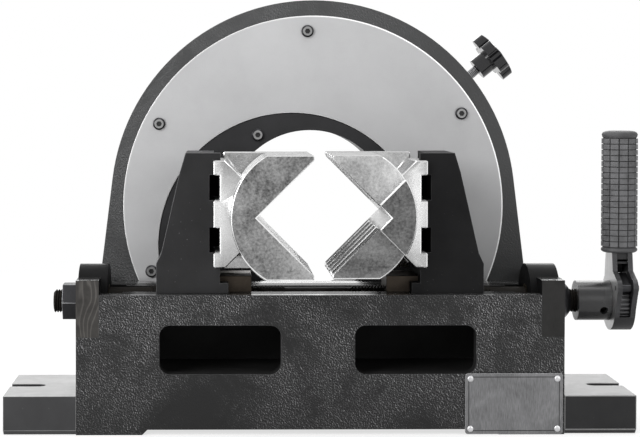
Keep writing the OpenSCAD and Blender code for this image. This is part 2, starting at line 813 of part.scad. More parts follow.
module disc_cover() color("#2f3032") difference() {
  rod_y(cover_r, cover_y0, disc_y0, ecc_x, ecc_z);
  rod_y(hole_r, cover_y0 - eps, disc_y0 + eps, hole_x, hole_z);
  for (a = cover_screws) let (p = on_circle(ecc_x, ecc_z, cover_screw_r, a))
    rod_y(m6[0] + screw_gap, cover_y0 - eps, disc_y0 + eps, p[0], p[1]);
}

module disc_screws() color("#2c2c2e") for (a = cover_screws)
  let (p = on_circle(ecc_x, ecc_z, cover_screw_r, a))
    translate([p[0], cover_y0, p[1]]) rotate([-90, 0, 0]) socket_screw(m6, disc_y0 - cover_y0 + m6_bite);

// Saw slide

// Dovetail rail seen along X, grown by a gap for the groove that runs on it
module dovetail(gap, extra) polygon([
  [rail_y1 - eps, rail_z + rail_root + gap], [rail_y1, rail_z + rail_root + gap],
  [rail_y2 + gap, rail_z + rail_top + gap], [rail_y2 + gap, rail_z - rail_top - gap - extra],
  [rail_y1, rail_z - rail_root - gap - extra], [rail_y1 - eps, rail_z - rail_root - gap - extra]]);

module slide_base() color("#7d7f82") difference() {
  union() {
    box([rail_x0, rail_x1], [disc_back, rail_y1], [rail_z - rail_half, rail_z + rail_half]);
    along_x(rail_x0, rail_x1) dovetail(0, 0);
    box([rail_x1 - lug_t, rail_x1], [disc_back, set_y + set_screw_r + lug_over],
      [rail_z - rail_half, rail_z + rail_half]);
  }
  rod_x(set_screw_r + run_gap, rail_x1 - lug_t - eps, rail_x1 + eps, set_y, rail_z);
  for (x = rail_screw_x) {
    rod_y(m6[0] + screw_gap, disc_back - eps, rail_y2 + eps, x, rail_z);
    rod_y(m6[1] + screw_gap, rail_screw_y, rail_y2 + eps, x, rail_z);
  }
}

module slide_base_screws() color("#2c2c2e") for (x = rail_screw_x)
  translate([x, rail_screw_y, rail_z]) rotate([90, 0, 0])
    socket_screw(m6, rail_screw_y - disc_back + m6_bite);

module saw_slide() color("#5d5f63") difference() {
  union() {
    box([block_x0, block_x1], [slide_y0, slide_y1],
      [rail_z - block_half, rail_z + block_half + block_over]);
    along_y(arm_y0, slide_y1) {
      translate([-blade_x, pipe_z]) circle(guard_r);
      polygon([[block_x0, rail_z], [block_x1, rail_z], [guard_r - blade_x, pipe_z],
        [-guard_r - blade_x, pipe_z]]);
    }
  }
  along_x(block_x0 - eps, block_x1 + eps) dovetail(turn_gap, gib_t);
  rod_x(set_screw_r + run_gap, block_x0 - slide_travel, block_x1 + eps, set_y, rail_z);
  rod_y(arbor_r + turn_gap, arm_y0 - eps, slide_y1 + eps, -blade_x, pipe_z);
}

module slide_gib() color("#a8854a") along_x(block_x0, block_x1) difference() {
  intersection() {
    dovetail(turn_gap, gib_t);
    translate([slide_y0, rail_z - block_half]) square([rail_y2 + turn_gap - slide_y0, block_half]);
  }
  dovetail(turn_gap, 0);
}

module gear_case() color("#4d5055") difference() {
  along_y(slide_y1, case_y1) {
    translate([-blade_x, pipe_z]) circle(case_nose_r);
    translate([motor_x, motor_z]) circle(case_r);
  }
  rod_y(arbor_r + run_gap, slide_y1 - eps, arbor_end, -blade_x, pipe_z);
  for (p = case_screws)
    rod_y(m6[0] + screw_gap, case_y1 - case_screw_len - eps, case_y1 + eps, p[0], p[1]);
}

module gear_case_screws() color("#2c2c2e") for (p = case_screws) {
  rod_y(m6[0], case_y1 - case_screw_len, case_y1 + eps, p[0], p[1]);
  rod_y(m6[1], case_y1, case_y1 + case_screw_head, p[0], p[1]);
}

module blade_guard() color("#3f4145") difference() {
  rod_y(guard_r, guard_y0, arm_y0, -blade_x, pipe_z);
  rod_y(guard_r - guard_wall, guard_y0 + guard_wall, arm_y0 + eps, -blade_x, pipe_z);
  rod_y(guard_eye_r, guard_y0 - eps, arm_y0, -blade_x, pipe_z);
  box([guard_open - blade_x, 0], [guard_y0 - eps, arm_y0 + eps], [0, 2 * pipe_z]);
}

module motor_housing() color("#26282b") difference() {
  rod_y(motor_r, case_y1, motor_y1, motor_x, motor_z);
  for (p = case_screws)
    rod_y(m6[1] + turn_gap, case_y1 - eps, case_y1 + case_screw_head + eps, p[0], p[1]);
  for (i = [0:vents - 1]) translate([motor_x, 0, motor_z]) rotate([0, (i + 0.5) * 360 / vents, 0])
    translate([motor_r - vent[0] / 2, motor_y1 - vent_back, -vent[2] / 2]) cube(vent);
}

module motor_end_cap() color("#1f2022") translate([motor_x, motor_y1, motor_z]) rotate([-90, 0, 0])
  rotate_extrude() polygon([[0, 0], [motor_r, 0], [motor_r, cap_len * 0.35],
    [motor_r - cap_shoulder, cap_len * 0.75], [handle_r + handle_flare, cap_len], [0, cap_len]]);

module motor_handle() color("#2a2b2e") difference() {
  translate([motor_x, cap_y1, motor_z]) rotate([-90, 0, 0]) rotate_extrude() polygon([
    [0, 0], [handle_r + handle_flare, 0], [handle_r, handle_step],
    [handle_r - handle_waist, handle_len * 0.4], [handle_r, handle_len * 0.75],
    [handle_r + handle_flare, handle_len - handle_step], [handle_r, handle_len], [0, handle_len]]);
  box([motor_x - trigger_w / 2 - turn_gap, motor_x + trigger_w / 2 + turn_gap],
    [trigger_y - turn_gap, trigger_y + trigger_len + turn_gap],
    [motor_z - 2 * handle_r, trigger_top + trigger_travel + turn_gap]);
}

module trigger() color("#b03028") along_x(motor_x - trigger_w / 2, motor_x + trigger_w / 2) polygon([
  [trigger_y, trigger_top], [trigger_y + trigger_len, trigger_top],
  [trigger_y + trigger_len, trigger_low + 1], [trigger_y + trigger_len - trigger_lead, trigger_low],
  [trigger_y + trigger_lead, trigger_low], [trigger_y, trigger_low + trigger_travel]]);

module cable_gland() color("#1c1c1e") translate([motor_x, handle_y1, motor_z]) rotate([-90, 0, 0])
  difference() {
    union() {
      cylinder(h = gland_nut_t, r = gland_nut_r, $fn = 6);
      rotate_extrude() polygon([[0, 0], [gland_r, 0], [gland_r, gland_len / 2], [gland_r * 0.8, gland_len],
        [0, gland_len]]);
    }
    translate([0, 0, gland_nut_t]) cylinder(h = gland_len, r = cord_r);
  }

// Blade

module blade_spindle() color("#9a9c9f") difference() {
  union() {
    rod_y(nose_r, blade_y0 - nose_len, blade_y1 + eps, -blade_x, pipe_z);
    rod_y(arbor_flange_r, blade_y1, blade_y1 + arbor_flange_t, -blade_x, pipe_z);
    rod_y(arbor_r, blade_y1 + eps, arbor_end - turn_gap, -blade_x, pipe_z);
  }
  rod_y(m6[0] + screw_gap, blade_y0 - nose_len - eps, blade_y0 + m6_bite, -blade_x, pipe_z);
}

module saw_blade() color("#b4b6b9") along_y(blade_y0, blade_y1) translate([-blade_x, pipe_z])
  difference() {
    polygon([for (i = [0:blade_teeth - 1], k = [0, 1])
      (blade_r - blade_tooth * k) * [cos((i + 0.3 * k) * 360 / blade_teeth),
        sin((i + 0.3 * k) * 360 / blade_teeth)]]);
    circle(nose_r + run_gap);
  }

module blade_flange() color("#8a8c90") difference() {
  rod_y(arbor_flange_r - 1, blade_y0 - flange_t, blade_y0, -blade_x, pipe_z);
  rod_y(nose_r + run_gap, blade_y0 - nose_len - turn_gap, blade_y0 + eps, -blade_x, pipe_z);
  rod_y(m6[0] + screw_gap, blade_y0 - flange_t - eps, blade_y0, -blade_x, pipe_z);
}

module blade_bolt() color("#55565a") {
  translate([-blade_x, blade_y0 - flange_t, pipe_z]) rotate([90, 0, 0])
    cylinder(h = blade_bolt_head, r = blade_bolt_af / sqrt(3), $fn = 6);
  rod_y(m6[0], blade_y0 - flange_t - eps, blade_y0 - flange_t + blade_bolt_len, -blade_x, pipe_z);
}

// Diameter setting

module setting_screw() color("#8a8c90") {
  rod_x(set_screw_r, block_x0 + set_tail, rail_x1 + set_knob_in, set_y, rail_z);
  rod_x(set_collar_r, rail_x1 + turn_gap, rail_x1 + turn_gap + set_collar_t, set_y, rail_z);
  rod_x(set_collar_r, rail_x1 - lug_t - turn_gap - set_collar_t, rail_x1 - lug_t - turn_gap, set_y,
    rail_z);
}

module setting_knob() color("#18181a") difference() {
  along_x(rail_x1 + turn_gap + set_collar_t, rail_x1 + set_knob_len) translate([set_y, rail_z]) {
    circle(set_knob_r - set_lobe_r / 2);
    for (i = [0:11]) rotate(i * 30) translate([set_knob_r - set_lobe_r, 0]) circle(set_lobe_r);
  }
  rod_x(set_screw_r + screw_gap, rail_x1, rail_x1 + set_knob_in + turn_gap, set_y, rail_z);
}

// Vise: right-hand pieces, mirrored for the left

module v_plate() difference() {
  intersection() {
    translate([apex_x - arc_in, 0]) circle(arc_r);
    translate([tip_x, -jaw_half]) square([far + arc_r, 2 * jaw_half]);
  }
  polygon([[apex_x, 0], [-eps, apex_x + eps], [-eps, -apex_x - eps]]);
}

module comb_gap() polygon([[wedge_x, 0], [wedge_x + far, far], [-far, far], [-far, -far],
  [wedge_x + far, -far]]);

module flange_outline() difference() {
  union() {
    translate([seat_x - flange_w, -flange_half]) square([flange_w - tooth_d, 2 * flange_half]);
    translate([seat_x - flange_w / 2, -tooth_mid]) square([flange_w / 2, 2 * tooth_mid]);
    for (s = [-1, 1]) translate([seat_x - flange_w / 2, s * (flange_half - tooth_end / 2) - tooth_end / 2])
      square([flange_w / 2, tooth_end]);
  }
  comb_gap();
}

module rear_plate() difference() {
  translate([tip_x, -jaw_half]) square([rear_plate_x - tip_x, 2 * jaw_half]);
  polygon([[apex_x, 0], [-eps, apex_x + eps], [-eps, -apex_x - eps]]);
}

// first is the half pitch at which this comb's own plates start: 0 or 1
module jaw(first) difference() {
  translate([0, 0, pipe_z]) difference() {
    union() {
      along_y(jaw_y0, jaw_y1) v_plate();
      along_y(jaw_y0 + (2 * plates - 2 + first) * half_pitch,
        jaw_y0 + (2 * plates - 2 + first) * half_pitch + plate_t) rear_plate();
    }
    for (i = [0:plates - 1]) let (y = jaw_y0 + (2 * i + 1 - first) * half_pitch)
      along_y(y - plate_gap, y + half_pitch) comb_gap();
  }
  for (y = jaw_screw_y) rod_x(m8[0] + screw_gap, jaw_hole_x, seat_x + eps, y, pipe_z);
}

module jaw_flange() difference() {
  translate([0, 0, pipe_z]) along_y(flange_y0, jaw_y1) flange_outline();
  for (y = jaw_screw_y) rod_x(m8[0] + screw_gap, jaw_hole_x, seat_x + eps, y, pipe_z);
}

module jaw_left() color("#c9cacc") mirror([1, 0, 0]) {
  jaw(0);
  jaw_flange();
}

module jaw_right() color("#c9cacc") {
  jaw(1);
  jaw_flange();
}

module carriage_outline() polygon([
  [car_toe_x, car_z0], [car_foot_x, car_z0], [car_foot_x, deck_z + car_foot_h],
  [car_shoulder_x, deck_z + car_foot_h + car_slope_h], [car_neck_x, pipe_z + car_top_h - car_neck_drop],
  [car_top_x, pipe_z + car_top_h], [car_lip_x, pipe_z + car_top_h], [car_lip_x, car_lip_z],
  [seat_x, car_lip_z], [seat_x, car_step_z], [car_step_x, car_step_z],
  [car_step_x, deck_z + car_step_h], [car_toe_x, deck_z + car_step_h]]);

module carriage() difference() {
  along_y(car_y0, car_y1) carriage_outline();
  box([car_lip_x - eps, seat_x], [car_y0 + car_lip_d, car_y1 + eps],
    [car_lip_z - eps, pipe_z + car_top_h + eps]);
  box([car_toe_x - eps, screw_nut_x + screw_nut_len + slide_gap],
    [spindle_y - screw_nut_y - slide_gap, spindle_y + screw_nut_y + slide_gap],
    [deck_z - eps, screw_nut_top + slide_gap]);
  rod_x(spindle_groove_r, car_toe_x, car_foot_x + eps, spindle_y, spindle_z);
  box([seat_x - eps, seat_x + seat_slot], [car_y0 - eps, car_y1 + eps], pipe_z * [1, 1] + seat_slot_z);
  box([seat_x - eps, seat_x + seat_slot], [car_y0 - eps, car_y1 + eps],
    pipe_z * [1, 1] - [seat_slot_z[1], seat_slot_z[0]]);
  for (y = jaw_screw_y) {
    rod_x(m8[0] + screw_gap, seat_x - eps, car_foot_x, y, pipe_z);
    rod_x(m8[1] + screw_gap, seat_x + jaw_web, car_foot_x + eps, y, pipe_z);
  }
}

module carriage_left() color("#343537") mirror([1, 0, 0]) carriage();

module carriage_right() color("#343537") carriage();

module jaw_screw_pair() for (y = jaw_screw_y)
  translate([seat_x + jaw_web, y, pipe_z]) rotate([0, -90, 0]) socket_screw(m8, jaw_web + m8_bite);

module jaw_screws_left() color("#2c2c2e") mirror([1, 0, 0]) jaw_screw_pair();

module jaw_screws_right() color("#2c2c2e") jaw_screw_pair();

module spindle_nut() difference() {
  along_x(screw_nut_x, screw_nut_x + screw_nut_len) translate([spindle_y, 0]) polygon([
    [-screw_nut_y - keeper_lip, keeper_top - keeper_t], [screw_nut_y + keeper_lip, keeper_top - keeper_t],
    [screw_nut_y + keeper_lip, keeper_top], [screw_nut_y, keeper_top], [screw_nut_y, screw_nut_top],
    [-screw_nut_y, screw_nut_top], [-screw_nut_y, keeper_top], [-screw_nut_y - keeper_lip, keeper_top]]);
  rod_x(thread_r + run_gap, screw_nut_x - eps, screw_nut_x + screw_nut_len + eps, spindle_y, spindle_z);
}

module spindle_nut_left() color("#6b4f32") mirror([1, 0, 0]) spindle_nut();

module spindle_nut_right() color("#6b4f32") spindle_nut();

// Spindle

module vise_spindle() color("#4c4d50") {
  rod_x(thread_r, -upper_x + boss_len + turn_gap, upper_x - boss_len - turn_gap, spindle_y, spindle_z);
  rod_x(journal_r, -nut_x - nut_t - stub_len, spindle_end, spindle_y, spindle_z);
}

module lock_nut() color("#38393b") difference() {
  translate([-nut_x - nut_t, spindle_y, spindle_z]) rotate([0, 90, 0]) rotate(90)
    cylinder(h = nut_t, r = nut_af / sqrt(3), $fn = 6);
  rod_x(journal_r + screw_gap, -nut_x - nut_t - eps, -nut_x + eps, spindle_y, spindle_z);
}

module thrust_collar() color("#55565a") translate([collar_x0, spindle_y, spindle_z]) rotate([0, 90, 0])
  rotate_extrude() difference() {
    intersection() {
      square([collar_r, 2 * collar_len]);
      translate([0, collar_len - sqrt(pow(dome_r, 2) - pow(journal_r, 2))]) circle(dome_r);
    }
    translate([-eps, -eps]) square([journal_r + screw_gap + eps, 2 * collar_len]);
  }

module crank_hub() color("#454649") difference() {
  rod_x(hub_r, hub_x0, hub_x1, spindle_y, spindle_z);
  rod_x(journal_r + screw_gap, hub_x0 - eps, hub_x1 + eps, spindle_y, spindle_z);
  translate([hub_x1 - 2 * hub_hole_r, spindle_y, spindle_z]) rotate([hub_hole_turn, 0, 0])
    cylinder(h = hub_r + eps, r = hub_hole_r);
}

module ratchet_gear() color("#3d3e40") difference() {
  along_x(cheek_x0 + turn_gap, cheek_x1 - turn_gap) translate([spindle_y, spindle_z])
    polygon([for (i = [0:gear_teeth - 1], k = [[0, 1], [0, 0.55], [1, 0.45], [1, 0]])
      (gear_r - gear_tooth * k[0]) * [cos((i + 1 - k[1]) * 360 / gear_teeth),
        sin((i + 1 - k[1]) * 360 / gear_teeth)]]);
  rod_x(journal_r + screw_gap, lever_x0, lever_x1, spindle_y, spindle_z);
}

module retaining_ring() color("#55565a") difference() {
  rod_x(journal_r + ring_w, lever_x1 + turn_gap, lever_x1 + turn_gap + ring_t, spindle_y, spindle_z);
  rod_x(journal_r + screw_gap, lever_x1, spindle_end + eps, spindle_y, spindle_z);
}

// Ratchet lever, drawn in the side view from the spindle axis

module arm_outline() polygon([[-arm_low, 0], [arm_low, 0], [arm_low, arm_root], [arm_high, grip_low],
  [-arm_high, grip_low], [-arm_low, arm_root]]);

module cheek_outline() difference() {
  union() {
    circle(head_r);
    arm_outline();
    translate([-pawl_y, pawl_z]) circle(pawl_boss_r);
    polygon(pawl_hood);
  }
  circle(journal_r + turn_gap);
  translate([-pawl_y, pawl_z]) circle(pawl_pin_r + run_gap);
}

module ratchet_lever() color("#57585a") translate([0, spindle_y, spindle_z]) {
  along_x(lever_x0, cheek_x0) cheek_outline();
  along_x(cheek_x1, lever_x1) cheek_outline();
  for (z = rib_z) along_x(cheek_x0, cheek_x1) intersection() {
    arm_outline();
    translate([rib_back - arm_high, z[0]]) square([2 * arm_low, z[1] - z[0]]);
  }
  along_x(cheek_x0, cheek_x1) intersection() {
    arm_outline();
    translate([arm_high - arm_web_t, arm_web_z]) square([2 * arm_low, grip_low - arm_web_z]);
  }
  along_x(cheek_x0, cheek_x1) intersection() {
    difference() {
      circle(head_r);
      circle(gear_r + 2 * turn_gap);
    }
    translate([-far, bridge_z - far]) square([2 * far, far]);
  }
  box([lever_mid - tang_w / 2, lever_mid + tang_w / 2], [-tang_d / 2, tang_d / 2],
    [grip_low - eps, grip_low + tang_len]);
}

module rubber_grip() color("#5f6062") translate([lever_mid, spindle_y, spindle_z + grip_low])
  difference() {
    rotate_extrude() polygon(concat(
      [[0, 0], [grip_r - 1, 0], [grip_r + grip_rim, 1], [grip_r + grip_rim, rows_z0 - 1]],
      [for (i = [0:grip_rows - 1], k = [[0, 0.1], [0, 0.6], [1, 0.7], [1, 1]])
        [grip_r - grip_rim - groove_d * k[0], rows_z0 + (i + k[1]) * (grip_len - 2 * rows_z0) / grip_rows]],
      [[grip_r + grip_rim, grip_len - rows_z0 + 1], [grip_r + grip_rim, grip_len - 2], [grip_r - 1, grip_len],
        [0, grip_len]]));
    box([-tang_w / 2 - screw_gap, tang_w / 2 + screw_gap], [-tang_d / 2 - screw_gap, tang_d / 2 + screw_gap],
      [-eps, tang_len + screw_gap]);
  }

module pawl_pin() color("#6c6d70") {
  rod_x(pawl_pin_r, lever_x0, lever_x1 + eps, spindle_y - pawl_y, spindle_z + pawl_z);
  rod_x(pin_head_r, lever_x1, lever_x1 + pin_head_t, spindle_y - pawl_y, spindle_z + pawl_z);
}

module pawl() color("#4a4b4d") translate([0, spindle_y, spindle_z]) difference() {
  union() {
    rod_x(pawl_eye_r, cheek_x0 + turn_gap, cheek_x1 - turn_gap, -pawl_y, pawl_z);
    along_x(cheek_x0 + turn_gap, cheek_x1 - turn_gap) polygon([
      [pawl_eye_r / 2 - pawl_y, pawl_z - pawl_eye_r / 3], pawl_back, pawl_nose, pawl_top,
      [-pawl_y, pawl_z + pawl_eye_r * 0.95]]);
  }
  rod_x(pawl_pin_r + run_gap, lever_x0, lever_x1, -pawl_y, pawl_z);
}

base_casting();
foot_left();
foot_right();
foot_bolts();
end_block_left();
end_block_right();
end_block_screws();
spindle_bushes();
arch_housing();
housing_bolts();
lock_bush();
name_plate();
plate_rivets();
rotor_ring();
front_plate();
front_plate_screws();
rotor_keeper();
keeper_screws();
eccentric_disc();
disc_cover();
disc_screws();
slide_base();
slide_base_screws();
saw_slide();
slide_gib();
gear_case();
gear_case_screws();
blade_guard();
motor_housing();
motor_end_cap();
motor_handle();
cable_gland();
blade_spindle();
saw_blade();
blade_flange();
blade_bolt();
trigger();
setting_screw();
setting_knob();
carriage_left();
jaw_left();
jaw_screws_left();
spindle_nut_left();
carriage_right();
jaw_right();
jaw_screws_right();
spindle_nut_right();
vise_spindle();
lock_nut();
thrust_collar();
crank_hub();
ratchet_gear();
retaining_ring();
ratchet_lever();
rubber_grip();
pawl_pin();
pawl();
lock_stud();
star_knob();
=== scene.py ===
"""Looks of the bench pipe cutter, laid out as an add-on and run as a script."""

import json
import math
from functools import cache

import bmesh
import bpy
from bpy.props import FloatProperty, FloatVectorProperty, IntProperty, PointerProperty
from mathutils import Matrix, Vector

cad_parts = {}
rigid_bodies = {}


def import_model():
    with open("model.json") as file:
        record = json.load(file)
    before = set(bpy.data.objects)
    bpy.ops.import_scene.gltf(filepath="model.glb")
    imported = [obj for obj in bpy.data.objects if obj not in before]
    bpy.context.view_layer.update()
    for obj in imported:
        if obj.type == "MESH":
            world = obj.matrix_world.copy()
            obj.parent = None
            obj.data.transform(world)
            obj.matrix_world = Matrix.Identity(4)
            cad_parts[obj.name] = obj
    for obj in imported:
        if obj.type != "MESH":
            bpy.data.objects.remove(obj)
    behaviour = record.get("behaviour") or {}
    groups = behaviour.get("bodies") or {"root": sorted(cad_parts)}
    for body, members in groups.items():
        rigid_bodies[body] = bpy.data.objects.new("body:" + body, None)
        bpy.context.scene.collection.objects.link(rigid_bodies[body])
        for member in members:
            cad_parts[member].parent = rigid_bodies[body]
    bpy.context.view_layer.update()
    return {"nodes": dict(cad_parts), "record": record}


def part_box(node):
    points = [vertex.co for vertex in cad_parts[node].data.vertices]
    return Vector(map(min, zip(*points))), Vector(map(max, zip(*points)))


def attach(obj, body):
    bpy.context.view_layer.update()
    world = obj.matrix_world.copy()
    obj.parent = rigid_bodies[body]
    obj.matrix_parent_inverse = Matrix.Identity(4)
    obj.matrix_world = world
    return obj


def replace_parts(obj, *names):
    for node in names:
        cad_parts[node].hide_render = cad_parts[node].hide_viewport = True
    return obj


bl_info = {
    "name": "Pipe cutter dresser",
    "version": (1, 0, 0),
    "blender": (4, 5, 0),
    "location": "View3D > Sidebar > Cutter",
    "description": "Dresses the solids of a bench pipe cutter with edges, threads and finishes",
    "category": "Object",
}

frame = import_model()
NODE_BODY = {n: b for b, nodes in frame["record"]["behaviour"]["bodies"].items() for n in nodes}
FINISHES = {}
WELD = 2e-6  # points nearer than this are one
FLAT = 0.99  # least part along an axis in the normal of a face that is square to it
FACING = 0.9  # the same for a face that looks that way
SLANTED = 0.6  # the same for a face at 45 degrees
LOW_HEAD = 0.003  # height of the small screws' heads
TALL_HEAD = 0.008  # height of the large screws' heads


def centre(node):
    """Middle of a node's box."""
    low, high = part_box(node)
    return (low + high) / 2


# Settings


def length_field(name, description, default):
    """A length in metres."""
    return FloatProperty(name=name, description=description, default=default, unit="LENGTH")


def count_field(name, description, default, least):
    """A whole number."""
    return IntProperty(name=name, description=description, default=default, min=least)


def colour_field(name, description, default):
    """A linear colour."""
    return FloatVectorProperty(name=name, description=description, default=default, subtype="COLOR")


class CutterSizes(bpy.types.PropertyGroup):
    """Sizes of the details that the dressing adds."""

    casting_edge: length_field("Casting edge", "Rounding of the cast edges", 0.0018)
    machined_edge: length_field("Machined edge", "Chamfer of the machined edges", 0.0007)
    fine_edge: length_field("Fine edge", "Rounding of small turned pieces", 0.0004)
    thread_lead: length_field("Thread lead", "Lead of the vise spindle", 0.005)
    thread_starts: count_field("Thread starts", "Ridges side by side in one lead", 2, 1)
    thread_depth: length_field("Thread depth", "Depth of the spindle's thread", 0.0013)
    grip_rows: count_field("Grip rows", "Rows of bricks on the grip", 19, 4)
    grip_columns: count_field("Grip columns", "Bricks in each row of the grip", 12, 6)
    motor_ribs: count_field("Motor ribs", "Ribs round the motor", 40, 8)


class CutterColours(bpy.types.PropertyGroup):
    """Main colours of the finishes."""

    casting: colour_field("Casting", "Black paint of the base", (0.008, 0.008, 0.0082))
    arch: colour_field("Arch", "Dark grey paint of the arch", (0.027, 0.0275, 0.028))
    front_plate: colour_field("Front plate", "Matt grey of the turning plate", (0.365, 0.365, 0.37))
    carriage: colour_field("Carriage", "Dark finish of the carriages", (0.01, 0.01, 0.0105))
    grip: colour_field("Grip", "Rubber of the lever's grip", (0.085, 0.085, 0.088))
    trigger: colour_field("Trigger", "Plastic of the trigger", (0.42, 0.02, 0.015))


def sizes():
    """The add-on's sizes."""
    return bpy.context.scene.cutter_sizes


# Node graphs


def arithmetic(operation, swapped=False):
    """A method of a socket that adds a math node."""

    def method(self, other=0.0):
        first, second = (other, self) if swapped else (self, other)
        return self.graph.node("ShaderNodeMath", {0: first, 1: second}, operation=operation)

    return method


class Sock:
    """An output socket that takes part in Python expressions."""

    __add__ = arithmetic("ADD")
    __radd__ = arithmetic("ADD", swapped=True)
    __sub__ = arithmetic("SUBTRACT")
    __rsub__ = arithmetic("SUBTRACT", swapped=True)
    __mul__ = arithmetic("MULTIPLY")
    __rmul__ = arithmetic("MULTIPLY", swapped=True)
    __mod__ = arithmetic("MODULO")
    __abs__ = arithmetic("ABSOLUTE")

    def __init__(self, graph, socket):
        self.graph = graph
        self.socket = socket

    def also(self, output):
        """Another output of the same node."""
        return Sock(self.graph, self.socket.node.outputs[output])


class Graph:
    """A node tree whose nodes all come from one method."""

    prefix = "ShaderNode"

    def __init__(self, tree):
        self.tree = tree

    def node(self, kind, inputs=None, out=0, **settings):
        """Adds a node, whose kind may lack the prefix, with its settings and its sockets fed."""
        node = self.tree.nodes.new(kind if "Node" in kind else self.prefix + kind)
        for key, value in settings.items():
            setattr(node, key, value)
        for key, value in (inputs or {}).items():
            for item in value if isinstance(value, list) else [value]:
                self.feed(node.inputs[key], item)
        return Sock(self, node.outputs[out]) if node.outputs else node

    def feed(self, socket, value):
        """Links a wrapped socket, or sets a plain value."""
        if isinstance(value, Sock):
            self.tree.links.new(value.socket, socket)
        elif socket.type == "RGBA" and len(value) == 3:
            socket.default_value = (*value, 1)
        else:
            socket.default_value = value

    def span(self, value, low, high, first=0.0, last=1.0):
        """Value taken from one range to another and held at the ends."""
        return self.node("MapRange", {
            "Value": value, "From Min": low, "From Max": high, "To Min": first, "To Max": last})


class Finish(Graph):
    """One procedural material on Object coordinates."""

    def __init__(self, name):
        material = FINISHES[name] = bpy.data.materials.new(name)
        material.use_nodes = True
        super().__init__(material.node_tree)
        self.shader = self.tree.nodes["Principled BSDF"]
        self.place = self.node("TexCoord", out="Object")

    def put(self, **values):
        """Feeds the shader's sockets, named with underscores for spaces."""
        for key, value in values.items():
            self.feed(self.shader.inputs[key.replace("_", " ")], value)

    def along(self, axis, place=None):
        """One of the coordinates."""
        return self.node("SeparateXYZ", {0: place or self.place}, axis)

    def stretched(self, scale, turn=(0, 0, 0), shift=(0, 0, 0)):
        """Object coordinates stretched, turned and shifted for a pattern with a grain."""
        return self.node("Mapping", {
            "Vector": self.place, "Scale": scale, "Rotation": turn, "Location": shift})

    def noise(self, scale, detail=3.0, roughness=0.5, vector=None, distortion=0.0):
        """Noise between 0 and 1."""
        return self.node("TexNoise", {
            "Vector": vector or self.place, "Scale": scale, "Detail": detail,
            "Roughness": roughness, "Distortion": distortion}, "Fac")

    def ramp(self, value, *stops):
        """Value through a grey ramp, whose stops are (position, level)."""
        result = self.node("ValToRGB", {"Fac": value})
        elements = result.socket.node.color_ramp.elements
        while len(elements) < len(stops):
            elements.new(0.5)
        for element, (position, level) in zip(elements, stops):
            element.position = position
            element.color = (*grey(level), 1)
        return result

    def mix(self, factor, first, second):
        """Mix of two colours."""
        return self.node("Mix", {0: factor, 6: first, 7: second}, 2, data_type="RGBA")

    def bump(self, height, strength, distance):
        """Feeds the shader's normal from a height."""
        self.put(Normal=self.node("Bump", {
            "Height": height, "Strength": strength, "Distance": distance}))


def grey(value, blue=0.0):
    """A grey, with a trace more blue if asked."""
    return value, value, value + blue


def tint(colour, factor):
    """A colour made lighter or darker."""
    return tuple(min(1.0, c * factor) for c in colour)


# Finishes


def cast_paint(name, colour, painted_glint_colour, lump, depth, share, gloss, calm=None):
    """Thick paint over a pebbled sand casting, with painted glints and shade on the grains.

    calm is (axis, start, end): the pebbles fade along the axis from start to end.
    """
    f = Finish(name)
    slant = {"scale": (1.0, 1.0, 0.9), "turn": (0, 0.7, 0)}
    blotch = f.noise(15, 5, 0.66, distortion=0.7)
    pebble = f.noise(lump, 2.0, 0.55, f.stretched(**slant), 0.5)
    beside = f.noise(lump, 2.0, 0.55, f.stretched(shift=(0.0004, 0, -0.0001), **slant), 0.5)
    patch = f.ramp(blotch, (0.34, 0.2), (0.52, 1.0))
    if calm:
        axis, start, end = calm
        patch = patch * f.span(f.along(axis), start, end, 1.0, 0.3)
    painted_glint_patches = f.ramp(f.noise(260, 2) * 0.6 + blotch * 0.4, (0.42, 0.35), (0.6, 1.0))
    # Painted light: noise minus its copy shifted toward the light gives painted glints and painted
    # shade.
    light_slope = (pebble - beside) * patch
    painted_glint = f.ramp(light_slope, (0.03, 0.0), (0.26, 1.0)) * painted_glint_patches
    painted_pebble_shade = f.ramp(light_slope * -1.0, (0.02, 0.0), (0.16, 1.0))
    body = f.mix(painted_pebble_shade, f.mix(patch, tint(colour, 0.8), tint(colour, 1.5)), tint(colour, 0.15))
    f.put(Base_Color=f.mix(painted_glint * share, body, painted_glint_colour), Roughness=0.46 - 0.16 * painted_glint,
          Specular_IOR_Level=gloss)
    f.bump(pebble * patch, 0.9, depth)


def smooth_paint(name, colour, rough, grain=900, gloss=0.5, speck=0.0):
    """Even satin paint with a faint orange peel and a few pale specks."""
    f = Finish(name)
    cloud = f.noise(35, 4, 0.6)
    peel = f.noise(grain, 2)
    dots = f.ramp(f.noise(620, 1), (0.74, 0.0), (0.8, 1.0))
    body = f.mix(f.ramp(cloud, (0.3, 0.0), (0.7, 1.0)), tint(colour, 0.78), tint(colour, 1.3))
    f.put(Base_Color=f.mix(dots * speck, body, grey(0.2)), Roughness=rough - 0.08 + 0.16 * cloud,
          Specular_IOR_Level=gloss)
    f.bump(peel, 0.12, 0.0004)


def metal(name, colour, rough, scale=(60, 60, 60), mottle=0.35, bump=0.08, metallic=1.0, gloss=0.5,
          painted_shade_band=None):
    """Machined metal whose tool marks follow one direction.

    The last argument is (axis, middle, half): a black band of painted shade across the axis, half
    its width to each side.
    """
    f = Finish(name)
    marks = f.noise(20, 3, 0.6, f.stretched(scale))
    cloud = f.noise(45, 4, 0.62, distortion=0.6)
    shade = f.ramp(cloud * 0.6 + marks * 0.4, (0.3, 0.0), (0.72, 1.0))
    tone = f.mix(shade, tint(colour, 1 - mottle), tint(colour, 1 + mottle * 0.5))
    # Painted shade: inside the band the tone goes black and the metal dull.
    if painted_shade_band:
        axis, middle, half = painted_shade_band
        ragged, fade = 0.004, 0.003
        outside_painted_shade = f.span(abs(f.along(axis) - middle) + (cloud - 0.5) * ragged, half, half + fade)
        tone, metallic = f.mix(outside_painted_shade, grey(0.012), tone), outside_painted_shade * metallic
    f.put(Base_Color=tone, Metallic=metallic, Roughness=rough - 0.07 + 0.18 * marks,
          Specular_IOR_Level=gloss)
    f.bump(marks, bump, 0.0003)


